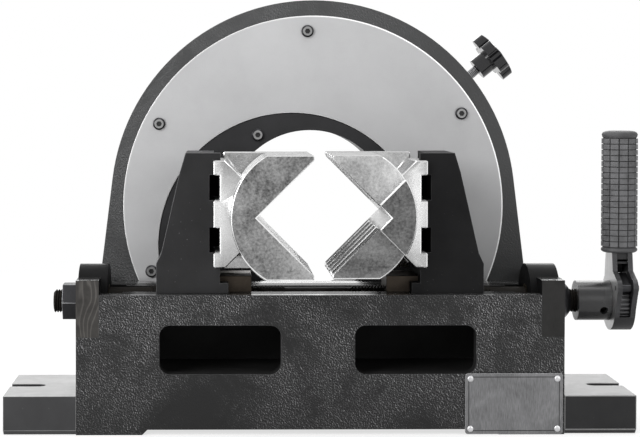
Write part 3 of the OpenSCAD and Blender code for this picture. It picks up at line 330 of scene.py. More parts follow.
def ground_steel(name, colour, middle=None, cloudy=26, spread=0.5):
    """Ground stainless steel, cloudy and speckled, with a painted highlight near a middle height if
    one is given.
    """
    f = Finish(name)
    marks = f.noise(20, 3, 0.6, f.stretched((25, 25, 120), (0, 0.6, 0)))
    cloud = f.noise(cloudy, 5, 0.65, distortion=0.8)
    speck = f.noise(520, 3, 0.7)
    shade = f.ramp(cloud * 0.65 + speck * 0.35, (0.36, 0.0), (0.66, 1.0))
    tone = f.mix(shade, tint(colour, 1 - spread), tint(colour, 1 + spread * 0.6))
    # Painted highlight: the tone is lighter within 14 mm of the middle height and fades out by 40
    # mm.
    if middle:
        fade = f.span(abs(f.along("Z") - middle), 0.014, 0.04)
        tone = f.mix(fade, tint(colour, 1.2), tone)
    f.put(Base_Color=tone, Metallic=1.0, Roughness=0.2 + 0.16 * marks)
    f.bump(marks * 0.6 + speck * 0.4, 0.12, 0.0003)


def swirled_steel(name, colour):
    """Dark machined steel with thin wandering lines."""
    f = Finish(name)
    drift = f.noise(1.0, 2, 0.5, f.stretched((60, 60, 16)))
    cloud = f.noise(70, 4, 0.6)
    lines = (f.along("X") + 1.0) * 260 + drift * 7
    line = f.ramp(lines % 1.0, (0.3, 0.0), (0.5, 1.0), (0.7, 0.0))
    body = f.mix(f.ramp(cloud, (0.3, 0.0), (0.75, 1.0)), tint(colour, 0.6), tint(colour, 1.3))
    f.put(Base_Color=f.mix(line * cloud, body, tint(colour, 3.0)), Metallic=0.3,
          Roughness=0.42 + 0.2 * cloud, Specular_IOR_Level=0.2)
    f.bump(line, 0.08, 0.0003)


def turned_plate(name, colour, middle, rim):
    """Blasted plate with a faint fine grain and a painted highlight on its rim, most on the +X
    side.
    """
    f = Finish(name)
    grain = f.noise(1500, 2, 0.6)
    cloud = f.noise(14, 4, 0.6)
    shade = f.ramp(cloud * 0.75 + grain * 0.25, (0.32, 0.0), (0.68, 1.0))
    face = f.mix(shade, tint(colour, 0.9), tint(colour, 1.08))
    arm = f.node("VectorMath", {0: f.place, 1: tuple(middle)}, operation="SUBTRACT")
    flat = f.node("VectorMath", {0: arm, 1: (1, 0, 1)}, operation="MULTIPLY")
    away = f.node("VectorMath", {0: flat}, "Value", operation="LENGTH")
    # Painted highlight: a near-white band at the rim, faint on the -X side and full on the +X side.
    edge = f.span(away, rim, rim + 0.0003)
    side = f.span(f.along("X", arm), -0.04, 0.08, 0.15)
    f.put(Base_Color=f.mix(edge * side, face, grey(0.95)), Metallic=0.15,
          Roughness=0.5 + 0.14 * grain)
    f.bump(grain, 0.1, 0.0002)


def rubber(name, colour):
    """Moulded rubber with a dusty bloom."""
    f = Finish(name)
    dust = f.noise(120, 4, 0.65)
    skin = f.noise(1800, 2)
    bloom = f.ramp(dust, (0.35, 0.0), (0.75, 1.0))
    f.put(Base_Color=f.mix(bloom, tint(colour, 0.75), tint(colour, 1.35)),
          Roughness=0.5 + 0.2 * dust, Specular_IOR_Level=0.35)
    f.bump(skin, 0.15, 0.0002)


def plastic(name, colour, rough, coat, grain):
    """Moulded plastic, glossy or spark-textured."""
    f = Finish(name)
    cloud = f.noise(50)
    skin = f.noise(grain, 2)
    f.put(Base_Color=f.mix(cloud, tint(colour, 0.8), tint(colour, 1.25)),
          Roughness=rough - 0.04 + 0.1 * cloud, Coat_Weight=coat, Specular_IOR_Level=0.3)
    f.bump(skin, 0.1 if coat == 0 else 0.03, 0.0003)


def etched_plate(name):
    """Dull brushed face of the bare name plate, tarnished in patches."""
    f = Finish(name)
    brush = f.noise(30, 3, 0.6, f.stretched((60, 60, 6)))
    cloud = f.noise(38, 4, 0.6, distortion=0.8)
    shade = f.ramp(brush * 0.55 + cloud * 0.45, (0.34, 0.0), (0.66, 1.0))
    f.put(Base_Color=f.mix(shade, grey(0.085, 0.002), grey(0.19, 0.005)), Metallic=0.6,
          Roughness=0.34 + 0.15 * brush)
    f.bump(brush, 0.06, 0.0002)


def make_finishes():
    """Builds every finish of the cutter."""
    c = bpy.context.scene.cutter_colours
    # The greys after the casting colours are painted glints on the pebbles' lit sides.
    cast_paint("cast_black", c.casting, grey(0.5, 0.005), 820, 0.0014, 0.95, 0.22,
               ("Z", 0.085, -0.04))
    cast_paint("arch_paint", c.arch, grey(0.2, 0.002), 760, 0.001, 0.7, 0.4, ("X", -0.02, 0.1))
    smooth_paint("carriage_paint", c.carriage, 0.4, gloss=0.2, speck=0.5)
    # Painted shade: a darker, duller copy of the carriage paint, for the right carriage.
    smooth_paint("carriage_dark", tint(c.carriage, 0.7), 0.42, gloss=0.08, speck=0.4)
    smooth_paint("disc_paint", grey(0.015, 0.001), 0.4, 1300, 0.22)
    smooth_paint("guard_paint", grey(0.035, 0.003), 0.42)
    smooth_paint("foot_paint", grey(0.019, 0.001), 0.4, 500, 0.32, 0.35)
    # Painted shade: a darker copy of the foot paint, for the right foot.
    smooth_paint("foot_dark", grey(0.012, 0.0005), 0.4, 500, 0.18, 0.2)
    # Black of the end blocks, also painted shade on the carriages' inner sides and the slot sheets.
    smooth_paint("block_paint", grey(0.004, 0.0002), 0.5, 700, 0.04)
    # Dull black: painted shade in the base's hollows, and the seams round the end blocks.
    smooth_paint("cavity_black", grey(0.014), 0.6, 500, 0.1)
    smooth_paint("hub_satin", grey(0.014, 0.0005), 0.26, 1400, 0.42)
    smooth_paint("spindle_oil", (0.01, 0.009, 0.008), 0.5, 1400, 0.02)
    low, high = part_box("front_plate")
    rim = 0.0012
    turned_plate("plate_grey", c.front_plate, centre("front_plate"), (high.x - low.x) / 2 - rim)
    metal("worn_edge", grey(0.2), 0.42, metallic=0.7)
    metal("plate_rim", grey(0.86), 0.35, mottle=0.15, metallic=0.2)
    metal("arch_edge", grey(0.11, 0.002), 0.42, metallic=0.4)
    metal("cast_edge", grey(0.05, 0.002), 0.42, metallic=0.3)
    metal("milled_top", grey(0.38), 0.4, (8, 90, 60), mottle=0.3)
    # Painted shade: a duller copy of the milled top, for the right foot.
    metal("milled_dull", grey(0.22), 0.5, (8, 90, 60), mottle=0.3)
    # Painted shade: the deck goes black and dull in a strip along the spindle.
    metal("deck_milled", grey(0.4), 0.18, (3, 90, 90), bump=0.03, gloss=0.03,
          painted_shade_band=("Y", -0.005, 0.037))
    ground_steel("jaw_steel", grey(0.56))
    # Painted light: the flange steel has a painted highlight at the pipe axis height (0.167 m).
    ground_steel("jaw_flange", grey(0.43), 0.167)
    # Painted shade: the next two are darker copies of the jaw steel.
    ground_steel("jaw_grey", grey(0.33), cloudy=15, spread=0.85)
    ground_steel("jaw_dark", grey(0.21), cloudy=18, spread=0.75)
    metal("jaw_edge", grey(0.9), 0.25, mottle=0.08)
    metal("jaw_top", grey(0.4), 0.5, mottle=0.2, metallic=0.1, gloss=0.05)
    # Painted light: bright steel as a painted reflection, going black near the middle as painted
    # shade.
    metal("jaw_blued", grey(0.8), 0.35, mottle=0.1, gloss=0.05, painted_shade_band=("X", 0.012, 0.028))
    metal("black_oxide", grey(0.028, 0.002), 0.33, (120, 30, 30), metallic=0.85)
    metal("screw_ring", grey(0.26), 0.35)
    metal("screw_socket", grey(0.02), 0.4, metallic=0.5)
    metal("nut_bronze", (0.056, 0.046, 0.037), 0.45, (30, 90, 90))
    metal("bush_bronze", (0.16, 0.125, 0.08), 0.34, (90, 30, 30))
    metal("lever_iron", grey(0.045, 0.002), 0.46, (40, 40, 40), mottle=0.6, bump=0.25, metallic=0.7)
    metal("lever_dark", grey(0.012, 0.001), 0.5, (40, 40, 40), bump=0.2, metallic=0.4)
    # Painted highlight: bright milled metal kept to the left-facing faces, where the light from the
    # left falls.
    metal("lever_side", grey(0.72), 0.36, (60, 60, 8), mottle=0.25)
    metal("tooth_iron", grey(0.2, 0.005), 0.4, (90, 30, 30), metallic=0.8)
    metal("gear_iron", grey(0.1, 0.003), 0.4, (90, 30, 30), metallic=0.8)
    metal("slide_steel", grey(0.45, 0.01), 0.3, (10, 90, 90))
    metal("gear_alu", (0.36, 0.37, 0.38), 0.45, (50, 50, 50), bump=0.2)
    metal("rotor_alu", grey(0.42, 0.01), 0.42, (60, 20, 60))
    metal("blade_steel", grey(0.58, 0.01), 0.3, (90, 20, 90))
    metal("rivet_alu", grey(0.55, 0.01), 0.35)
    swirled_steel("block_swirl", (0.034, 0.032, 0.03))
    metal("block_streak", (0.015, 0.0145, 0.014), 0.5, (150, 150, 7), mottle=0.7, metallic=0.6)
    rubber("grip_rubber", c.grip)
    # Painted shade: a much darker rubber for the grooves between the bricks.
    rubber("grip_groove", tint(c.grip, 0.25))
    rubber("grip_rim", tint(c.grip, 0.6))
    plastic("knob_gloss", grey(0.005, 0.001), 0.12, 0.4, 900)
    plastic("motor_plastic", (0.024, 0.025, 0.027), 0.5, 0.0, 2200)
    plastic("trigger_plastic", c.trigger, 0.28, 0.3, 900)
    etched_plate("plate_dark")


# Meshes


def paint(mesh, *finishes):
    """Gives a mesh its finishes in place of those it has."""
    mesh.materials.clear()
    for finish in finishes:
        mesh.materials.append(FINISHES[finish])


def new_object(name, mesh, *finishes):
    """Links a mesh at the origin and gives it its finishes."""
    obj = bpy.data.objects.new(name, mesh)
    bpy.context.scene.collection.objects.link(obj)
    paint(mesh, *finishes)
    return obj


def mesh_from(bm, name):
    """A new mesh with a bmesh's faces; the bmesh is freed."""
    mesh = bpy.data.meshes.new(name)
    bm.to_mesh(mesh)
    bm.free()
    return mesh


def welded(node):
    """A node's solid as a bmesh with its doubled points joined."""
    bm = bmesh.new()
    bm.from_mesh(frame["nodes"][node].data)
    bmesh.ops.remove_doubles(bm, verts=bm.verts, dist=WELD)
    return bm


def settle(obj):
    """Turns the modifiers' result into the object's own plain mesh."""
    depsgraph = bpy.context.evaluated_depsgraph_get()
    depsgraph.update()
    mesh = bpy.data.meshes.new_from_object(obj.evaluated_get(depsgraph))
    old = obj.data
    obj.modifiers.clear()
    obj.data = mesh
    bpy.data.meshes.remove(old)
    if not mesh.polygons:
        raise RuntimeError(f"{obj.name} came out empty")


def smooth(mesh, angle=38):
    """Smooth shading with sharp edges above an angle."""
    mesh.polygons.foreach_set("use_smooth", [True] * len(mesh.polygons))
    mesh.set_sharp_from_angle(angle=math.radians(angle))


def goes_with(obj, node):
    """Rides on a node's body beside the node."""
    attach(obj, NODE_BODY[node])
    return obj


def stands_for(obj, node):
    """Rides on a node's body in the node's place."""
    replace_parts(goes_with(obj, node), node)
    return obj


def wear(finish, *nodes):
    """Gives nodes that keep their solids a finish."""
    for node in nodes:
        paint(frame["nodes"][node].data, finish)


def dressed(node, finish, edge=None, faces=None, width=None, segments=2, crisp=False):
    """A copy of a node with rounded edges, or crisp outer ones, that replaces the node.

    It has a finish, one for its edges, and one for each kind of face that a test in faces picks.
    Without a width its edges are machined ones.
    """
    bm = welded(node)
    bmesh.ops.dissolve_limit(bm, angle_limit=math.radians(1), verts=bm.verts, edges=bm.edges)
    weight = bm.edges.layers.float.new("bevel_weight_edge")
    sharp = math.radians(32)
    for line in bm.edges:
        line[weight] = line.calc_face_angle(0) > sharp and (line.is_convex or not crisp)
    mesh = mesh_from(bm, node + "_dressed")
    faces = faces or {}
    obj = new_object(node + "_dressed", mesh, finish, edge or finish, *faces)
    for polygon in mesh.polygons:
        for index, test in enumerate(faces.values(), 2):
            if test(polygon.center, polygon.normal):
                polygon.material_index = index
    smooth(mesh)
    bevel = obj.modifiers.new("edges", "BEVEL")
    bevel.width = width or sizes().machined_edge
    bevel.segments = segments
    bevel.limit_method = "WEIGHT"
    bevel.material = 1 if edge else -1
    bevel.use_clamp_overlap = not crisp
    if not crisp:
        obj.modifiers.new("shading", "WEIGHTED_NORMAL").keep_sharp = True
    settle(obj)
    if crisp:
        smooth(obj.data, 25)
    return stands_for(obj, node)


def tube(bm, profile, origin, axis):
    """Adds a closed turned body; the profile is (radius, height) along the axis."""
    steps = 64
    turn = Vector((0, 0, 1)).rotation_difference(Vector(axis)).to_matrix().to_4x4()
    place = Matrix.Translation(origin) @ turn
    rings = []
    for radius, height in profile:
        angles = [2 * math.pi * i / steps for i in range(steps)] if radius else [0.0]
        rings.append([bm.verts.new(place @ Vector((
            radius * math.cos(angle), radius * math.sin(angle), height))) for angle in angles])
    for low, high in zip(rings, rings[1:]):
        for i in range(steps):
            k = (i + 1) % steps
            corners = [row[j % len(row)] for row, j in ((low, i), (low, k), (high, k), (high, i))]
            bm.faces.new(list(dict.fromkeys(corners)))


def turned(name, finish, bodies, angle=38):
    """An object of turned bodies, each (profile, origin, axis)."""
    bm = bmesh.new()
    for profile, origin, axis in bodies:
        tube(bm, profile, origin, axis)
    bmesh.ops.recalc_face_normals(bm, faces=bm.faces)
    mesh = mesh_from(bm, name)
    smooth(mesh, angle)
    return new_object(name, mesh, finish)


def boxes(name, finish, places):
    """An object of plain boxes, each (middle, size)."""
    bm = bmesh.new()
    for middle, size in places:
        bmesh.ops.create_cube(
            bm, size=1, matrix=Matrix.Translation(middle) @ Matrix.Diagonal((*size, 1)))
    return new_object(name, mesh_from(bm, name), finish)


# Geometry node trees


class Recipe(Graph):
    """A geometry tree with named inputs that ends in Realize Instances and Set Material."""

    prefix = "GeometryNode"

    def __init__(self, name, **inputs):
        super().__init__(bpy.data.node_groups.new(name, "GeometryNodeTree"))
        face = self.tree.interface
        face.new_socket("Geometry", in_out="INPUT", socket_type="NodeSocketGeometry")
        self.ids = {}
        for key, value in inputs.items():
            kind = {bool: "Bool", int: "Int", float: "Float", tuple: "Vector"}[type(value)]
            socket = face.new_socket(key, in_out="INPUT", socket_type="NodeSocket" + kind)
            socket.default_value = value
            self.ids[key] = socket.identifier
        self.ids["Material"] = face.new_socket(
            "Material", in_out="INPUT", socket_type="NodeSocketMaterial").identifier
        face.new_socket("Geometry", in_out="OUTPUT", socket_type="NodeSocketGeometry")
        self.entry = self.node("NodeGroupInput")

    def asks(self, name):
        """A named input of the tree."""
        return self.entry.also(name)

    def vector(self, x=0.0, y=0.0, z=0.0):
        """A vector from three values."""
        return self.node("ShaderNodeCombineXYZ", {0: x, 1: y, 2: z})

    def moved(self, geometry, **values):
        """Geometry moved or turned."""
        return self.node("Transform", {"Geometry": geometry, **values})

    def close(self, geometry):
        """Ends the tree."""
        solid = self.node("RealizeInstances", {"Geometry": geometry})
        painted = self.node("SetMaterial", {"Geometry": solid, "Material": self.asks("Material")})
        self.node("NodeGroupOutput", {"Geometry": painted})

    def make(self, name, finish, mesh=None, **values):
        """Runs the tree on a mesh and returns a plain object."""
        obj = new_object(name, mesh or bpy.data.meshes.new(name), finish)
        modifier = obj.modifiers.new("recipe", "NODES")
        modifier.node_group = self.tree
        for key, value in values.items():
            modifier[self.ids[key]] = value
        modifier[self.ids["Material"]] = FINISHES[finish]
        settle(obj)
        smooth(obj.data)
        return obj


@cache
def screw_recipe():
    """Socket-head screws on points, each along its own direction."""
    r = Recipe(
        "socket_screws", Head=0.005, Height=0.003, Chamfer=0.0005, Socket=0.0029, Depth=0.0017)
    head, height, chamfer = r.asks("Head"), r.asks("Height"), r.asks("Chamfer")
    sides = 40

    def raised(kind, rise, inputs):
        return r.moved(r.node(kind, inputs, "Mesh"), Translation=r.vector(z=rise))

    barrel = raised("MeshCylinder", (height - chamfer) * 0.5, {
        "Vertices": sides, "Radius": head, "Depth": height - chamfer})
    crown = raised("MeshCone", height - chamfer, {
        "Vertices": sides, "Radius Top": head - chamfer, "Radius Bottom": head, "Depth": chamfer})
    joined = r.node("JoinGeometry", {"Geometry": [barrel, crown]})
    whole = r.node("MergeByDistance", {"Geometry": joined, "Distance": 1e-6})
    hexagon = raised("MeshCylinder", height, {
        "Vertices": 6, "Radius": r.asks("Socket"), "Depth": r.asks("Depth") * 2.0})
    cut = r.node("MeshBoolean", {"Mesh 1": whole, "Mesh 2": hexagon}, operation="DIFFERENCE")
    way = r.node("InputNamedAttribute", {"Name": "way"}, data_type="FLOAT_VECTOR")
    turn = r.node("FunctionNodeAlignRotationToVector", {"Vector": way}, axis="Z")
    r.close(r.node("InstanceOnPoints", {
        "Points": r.asks("Geometry"), "Instance": cut, "Rotation": turn}))
    return r


@cache
def brick_recipe():
    """Blocks in rows round a cylinder that stands on Z."""
    r = Recipe("blocks_round_cylinder", Rows=1, Columns=24, Radius=0.01, First=0.0, Step=0.005,
               Size=(0.001, 0.002, 0.003), Turn=(0.0, 0.0, 0.0), Place=(0.0, 0.0, 0.0))
    rows = r.node("MeshLine", {
        "Count": r.asks("Rows"), "Start Location": r.vector(z=r.asks("First")),
        "Offset": r.vector(z=r.asks("Step"))}, mode="OFFSET")
    ring = r.node("MeshCircle", {"Vertices": r.asks("Columns"), "Radius": r.asks("Radius")})
    rings = r.node("InstanceOnPoints", {"Points": rows, "Instance": ring})
    points = r.node("RealizeInstances", {"Geometry": rings})
    spot = r.node("InputPosition")
    flat = r.node("ShaderNodeVectorMath", {0: spot, 1: (1, 1, 0)}, operation="MULTIPLY")
    out = r.node("FunctionNodeAlignRotationToVector", {"Vector": flat}, axis="X", pivot_axis="Z")
    block = r.node("MeshCube", {"Size": r.asks("Size")}, "Mesh")
    blocks = r.node("InstanceOnPoints", {"Points": points, "Instance": block, "Rotation": out})
    solid = r.node("RealizeInstances", {"Geometry": blocks})
    r.close(r.moved(solid, Rotation=r.asks("Turn"), Translation=r.asks("Place")))
    return r


@cache
def thread_recipe():
    """A trapezoidal thread ridge, wound along X unless it is turned."""
    r = Recipe("thread_ridge", Turns=10.0, Radius=0.01, Length=0.05, Depth=0.001, Foot=0.003,
               Crest=0.0015, Reverse=False, Turn=(0.0, math.pi / 2, 0.0), Place=(0.0, 0.0, 0.0))
    helix = r.node("CurveSpiral", {
        "Resolution": 28, "Rotations": r.asks("Turns"), "Start Radius": r.asks("Radius"),
        "End Radius": r.asks("Radius"), "Height": r.asks("Length"), "Reverse": r.asks("Reverse")})
    helix = r.node("SetCurveNormal", {"Curve": helix}, mode="Z_UP")
    shape = r.node("CurvePrimitiveQuadrilateral", {
        "Height": r.asks("Depth"), "Bottom Width": r.asks("Foot"), "Top Width": r.asks("Crest"),
        "Offset": 0.0}, mode="TRAPEZOID")
    shape = r.moved(shape, Rotation=(0, 0, math.pi / 2))
    ridge = r.node("CurveToMesh", {"Curve": helix, "Profile Curve": shape, "Fill Caps": True})
    r.close(r.moved(ridge, Rotation=r.asks("Turn"), Translation=r.asks("Place")))
    return r


def thread(name, finish, node, pitch, length, **values):
    """A thread ridge beside a node that goes on by a pitch in each turn."""
    goes_with(thread_recipe().make(
        name, finish, Turns=length / pitch, Length=length, **values), node)


def solids_of(node):
    """Boxes of the separate solids in a node, as (low, high) pairs."""
    bm = welded(node)
    found, seen = [], set()
    for start in bm.verts:
        group, queue = set(), [] if start in seen else [start]
        while queue:
            vert = queue.pop()
            if vert not in group:
                group.add(vert)
                queue += [e.other_vert(vert) for e in vert.link_edges]
        seen |= group
        if group:
            found.append(tuple(
                Vector(pick(v.co[i] for v in group) for i in range(3)) for pick in (min, max)))
    bm.free()
    return found


def screws(node, way, height):
    """Socket-head screws that stand for a node of like screws.

    way points out of the heads; along X it turns round on the left half of the part.
    """
    chamfer, socket, depth = 0.26, 0.46, 0.55  # shares of a head's radius, radius and height
    near_middle = 0.02
    axis = max(range(3), key=lambda i: abs(way[i]))
    points, ways, radius = [], [], 0.0
    for low, high in solids_of(node):
        mid = (low + high) / 2
        paired = axis == 0 and abs(mid.x) > near_middle
        sign = way[axis] * (math.copysign(1, mid.x) if paired else 1)
        spot = mid.copy()
        spot[axis] = (high if sign > 0 else low)[axis] - sign * height
        points.append(spot)
        ways.append([sign if i == axis else 0.0 for i in range(3)])
        radius = (high - low)[(axis + 1) % 3] / 2
    mesh = bpy.data.meshes.new(node + "_points")
    mesh.from_pydata(points, [], [])
    mesh.attributes.new("way", "FLOAT_VECTOR", "POINT").data.foreach_set(
        "vector", [v for w in ways for v in w])
    obj = screw_recipe().make(
        node + "_heads", "black_oxide", mesh, Head=radius, Height=height, Chamfer=radius * chamfer,
        Socket=radius * socket, Depth=height * depth)
    paint(obj.data, "black_oxide", "screw_ring", "screw_socket")
    tops, floors = (
        {round(p[axis] + w[axis] * height * share, 5) for p, w in zip(points, ways)}
        for share in (1, 1 - depth))
    for polygon in obj.data.polygons:
        level = round(polygon.center[axis], 5) if abs(polygon.normal[axis]) > FACING else None
        polygon.material_index = 1 if level in tops else 2 if level in floors else 0
    stands_for(obj, node)


# Pieces


class CUTTER_OT_base(bpy.types.Operator):
    """Base casting with its milled deck"""

    bl_idname = "cutter.base"
    bl_label = "Base casting"

    def execute(self, context):
        low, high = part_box("base_casting")
        skin, deck = 0.003, 0.001
        dressed("base_casting", "cast_black", "cast_edge", {
            # Painted shade: faces inside the casting's box, in its windows and hollows, get the
            # dull black.
            "cavity_black": lambda c, n: all(
                low[i] + skin < c[i] < high[i] - skin for i in range(3)),
            "deck_milled": lambda c, n: n.z > FLAT and c.z > high.z - deck},
            sizes().casting_edge, segments=3)
        return {"FINISHED"}


class CUTTER_OT_feet(bpy.types.Operator):
    """Bench feet with milled tops"""

    bl_idname = "cutter.feet"
    bl_label = "Feet"

    def execute(self, context):
        # The right foot gets darker copies of both finishes as painted shade.
        for node, side, top in (("foot_left", "foot_paint", "milled_top"),
                                ("foot_right", "foot_dark", "milled_dull")):
            dressed(node, side, "worn_edge", {top: lambda c, n: n.z > FLAT})
        return {"FINISHED"}


class CUTTER_OT_end_blocks(bpy.types.Operator):
    """End blocks with their bearing bosses and bushes"""

    bl_idname = "cutter.end_blocks"
    bl_label = "End blocks"

    def execute(self, context):
        for node, front in (("end_block_left", "block_swirl"), ("end_block_right", "block_streak")):
            dressed(node, "block_paint", "cavity_black", {
                front: lambda c, n: n.y < -FLAT, "deck_milled": lambda c, n: n.z > FLAT})
        wear("bush_bronze", "spindle_bushes")
        screws("end_block_screws", (1, 0, 0), TALL_HEAD)
        return {"FINISHED"}


class CUTTER_OT_arch(bpy.types.Operator):
    """Arch housing"""

    bl_idname = "cutter.arch"
    bl_label = "Arch housing"

    def execute(self, context):
        dressed("arch_housing", "arch_paint", "arch_edge", width=sizes().casting_edge, segments=3)
        wear("bush_bronze", "lock_bush")
        wear("black_oxide", "foot_bolts", "housing_bolts")
        return {"FINISHED"}


class CUTTER_OT_rotor(bpy.types.Operator):
    """Turning plate, rotor ring and keeper"""

    bl_idname = "cutter.rotor"
    bl_label = "Rotor"

    def execute(self, context):
        dressed("front_plate", "plate_grey", "plate_rim")
        dressed("rotor_keeper", "rotor_alu")
        wear("rotor_alu", "rotor_ring")
        screws("front_plate_screws", (0, -1, 0), LOW_HEAD)
        screws("keeper_screws", (0, 1, 0), LOW_HEAD)
        return {"FINISHED"}


class CUTTER_OT_disc(bpy.types.Operator):
    """Eccentric disc and its cover"""

    bl_idname = "cutter.disc"
    bl_label = "Eccentric disc"

    def execute(self, context):
        for node in ("disc_cover", "eccentric_disc"):
            dressed(node, "disc_paint")
        screws("disc_screws", (0, -1, 0), LOW_HEAD)
        return {"FINISHED"}


class CUTTER_OT_vise(bpy.types.Operator):
    """Carriages and their spindle nuts"""

    bl_idname = "cutter.vise"
    bl_label = "Carriages"

    def execute(self, context):
        for side, finish in (("left", "carriage_paint"), ("right", "carriage_dark")):
            dressed("carriage_" + side, finish, "cast_edge", {
                # Painted shade: the carriage sides that face the middle get the black of the end
                # blocks.
                "block_paint": lambda c, n: abs(n.x) > FACING and c.x * n.x < 0})
            dressed("spindle_nut_" + side, "nut_bronze", width=sizes().fine_edge)
            screws("jaw_screws_" + side, (1, 0, 0), TALL_HEAD)
        return {"FINISHED"}


class CUTTER_OT_jaws(bpy.types.Operator):
    """Interleaving V-jaws"""

    bl_idname = "cutter.jaws"
    bl_label = "V-jaws"

    def execute(self, context):
        mid = centre("jaw_left").z
        bevel = 0.0008
        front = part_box("jaw_left")[0].y + 0.002
        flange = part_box("carriage_left")[0].y - 0.006
        # The flange faces get the steel with the painted highlight at middle height.
        seen = {"jaw_flange": lambda c, n: n.y < -FACING and c.y > flange,
                "jaw_top": lambda c, n: n.z > FACING}
        # Painted shade: the left jaw's front faces get a darker copy of the steel.
        left = dressed("jaw_left", "jaw_steel", "jaw_edge", {
            "jaw_grey": lambda c, n: n.y < -FACING and c.y < front, **seen},
            bevel, segments=1, crisp=True)
        # Painted shade: the right jaw's front faces, and its lower faces behind the flange, get a
        # darker copy.
        right = dressed("jaw_right", "jaw_steel", "jaw_edge", {
            "jaw_dark": lambda c, n: n.y < -FACING and (c.y < front or c.y < flange and c.z < mid),
            **seen,
            # The lower flanks facing up and to the left get the painted reflection and shade.
            "jaw_blued": lambda c, n: n.x < -SLANTED and n.z > SLANTED and c.z < mid},
            bevel, segments=1, crisp=True)
        for side, jaw in (("left", left), ("right", right)):
            top = jaw.data.materials.find("jaw_top")
            for polygon in jaw.data.polygons:
                normal = polygon.normal
                if polygon.material_index == 1 and normal.z > SLANTED and normal.y < -SLANTED:
                    polygon.material_index = top
            self.stops(side, mid)
        return {"FINISHED"}

    def stops(self, side, mid):
        """Thin black sheets of painted shadow behind the slots between a jaw's flange and its
        carriage.
        """
        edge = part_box("jaw_" + side)[side == "right"].x
        size, behind, rise = (0.0078, 0.001, 0.019), 0.011, 0.0199
        goes_with(boxes("slot_stops_" + side, "block_paint", [
            ((edge, behind, mid + way * rise), size) for way in (-1, 1)]), "jaw_" + side)


class CUTTER_OT_spindle(bpy.types.Operator):
    """Vise spindle with its thread, and the pieces on it"""

    bl_idname = "cutter.spindle"
    bl_label = "Spindle"

    def execute(self, context):
        s = sizes()
        low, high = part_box("vise_spindle")
        mid = centre("vise_spindle")
        radius = (high.z - low.z) / 2
        journal, fine_pitch, fine_depth = 0.009, 0.002, 0.0011
        bevel, tucked, reach = 0.001, 0.003, 0.002
        inner = -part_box("end_block_left")[1].x - 0.0003
        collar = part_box("thrust_collar")[1].x
        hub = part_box("crank_hub")[0].x
        root = journal - fine_depth
        shoulder, crank = collar - tucked, hub + tucked
        core = radius - s.thread_depth
        axle = turned("spindle_axle", "spindle_oil", [([
            (0, low.x), (root - bevel, low.x), (root, low.x + bevel), (root, -shoulder),
            (journal, -shoulder), (journal, -inner - bevel), (core, -inner), (core, inner),
            (journal, inner + bevel), (journal, shoulder), (root, shoulder), (root, crank),
            (journal, crank), (journal, high.x - bevel), (journal - bevel, high.x), (0, high.x)],
            (0, mid.y, mid.z), (1, 0, 0))])
        stands_for(axle, "vise_spindle")
        first, length = 0.025, 0.107
        pitch = s.thread_lead / s.thread_starts
        for name, start in (("thread_left", -first - length), ("thread_right", first)):
            for index in range(s.thread_starts):
                thread(
                    f"{name}_{index}", "spindle_oil", "vise_spindle", s.thread_lead, length,
                    Radius=radius - s.thread_depth / 2, Depth=s.thread_depth, Foot=pitch * 0.66,
                    Crest=pitch * 0.36, Reverse=start < 0,
                    Place=(start + index * pitch, mid.y, mid.z))
        for name, x0, x1 in (("stub_thread", low.x + bevel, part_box("lock_nut")[0].x + reach),
                             ("crank_thread", collar - reach, hub + reach)):
            thread(
                name, "spindle_oil", "vise_spindle", fine_pitch, x1 - x0, Radius=journal - 0.0006,
                Depth=fine_depth, Foot=0.0019, Crest=0.0004, Place=(x0, mid.y, mid.z))
        dressed("lock_nut", "black_oxide", "tooth_iron")
        dressed("thrust_collar", "black_oxide", width=s.fine_edge)
        # The hub's left end gets the painted highlight of the lever's left faces.
        dressed("crank_hub", "hub_satin", "tooth_iron", {"lever_side": lambda c, n: n.x < -FACING})
        dressed("ratchet_gear", "gear_iron", width=s.fine_edge * 0.6)
        dressed("retaining_ring", "black_oxide", width=s.fine_edge)
        return {"FINISHED"}


class CUTTER_OT_lever(bpy.types.Operator):
    """Ratchet lever, pawl and pin"""

    bl_idname = "cutter.lever"
    bl_label = "Ratchet lever"

    def execute(self, context):
        mid = centre("ratchet_lever").x
        web = 0.0045
        dressed("ratchet_lever", "lever_iron", "tooth_iron", {
            "lever_dark": lambda c, n: abs(c.x - mid) < web,
            # Painted highlight on the left cheek's outer faces.
            "lever_side": lambda c, n: n.x < -FACING and c.x < mid})
        for node in ("pawl", "pawl_pin"):
            dressed(node, "black_oxide", width=sizes().fine_edge)
        return {"FINISHED"}


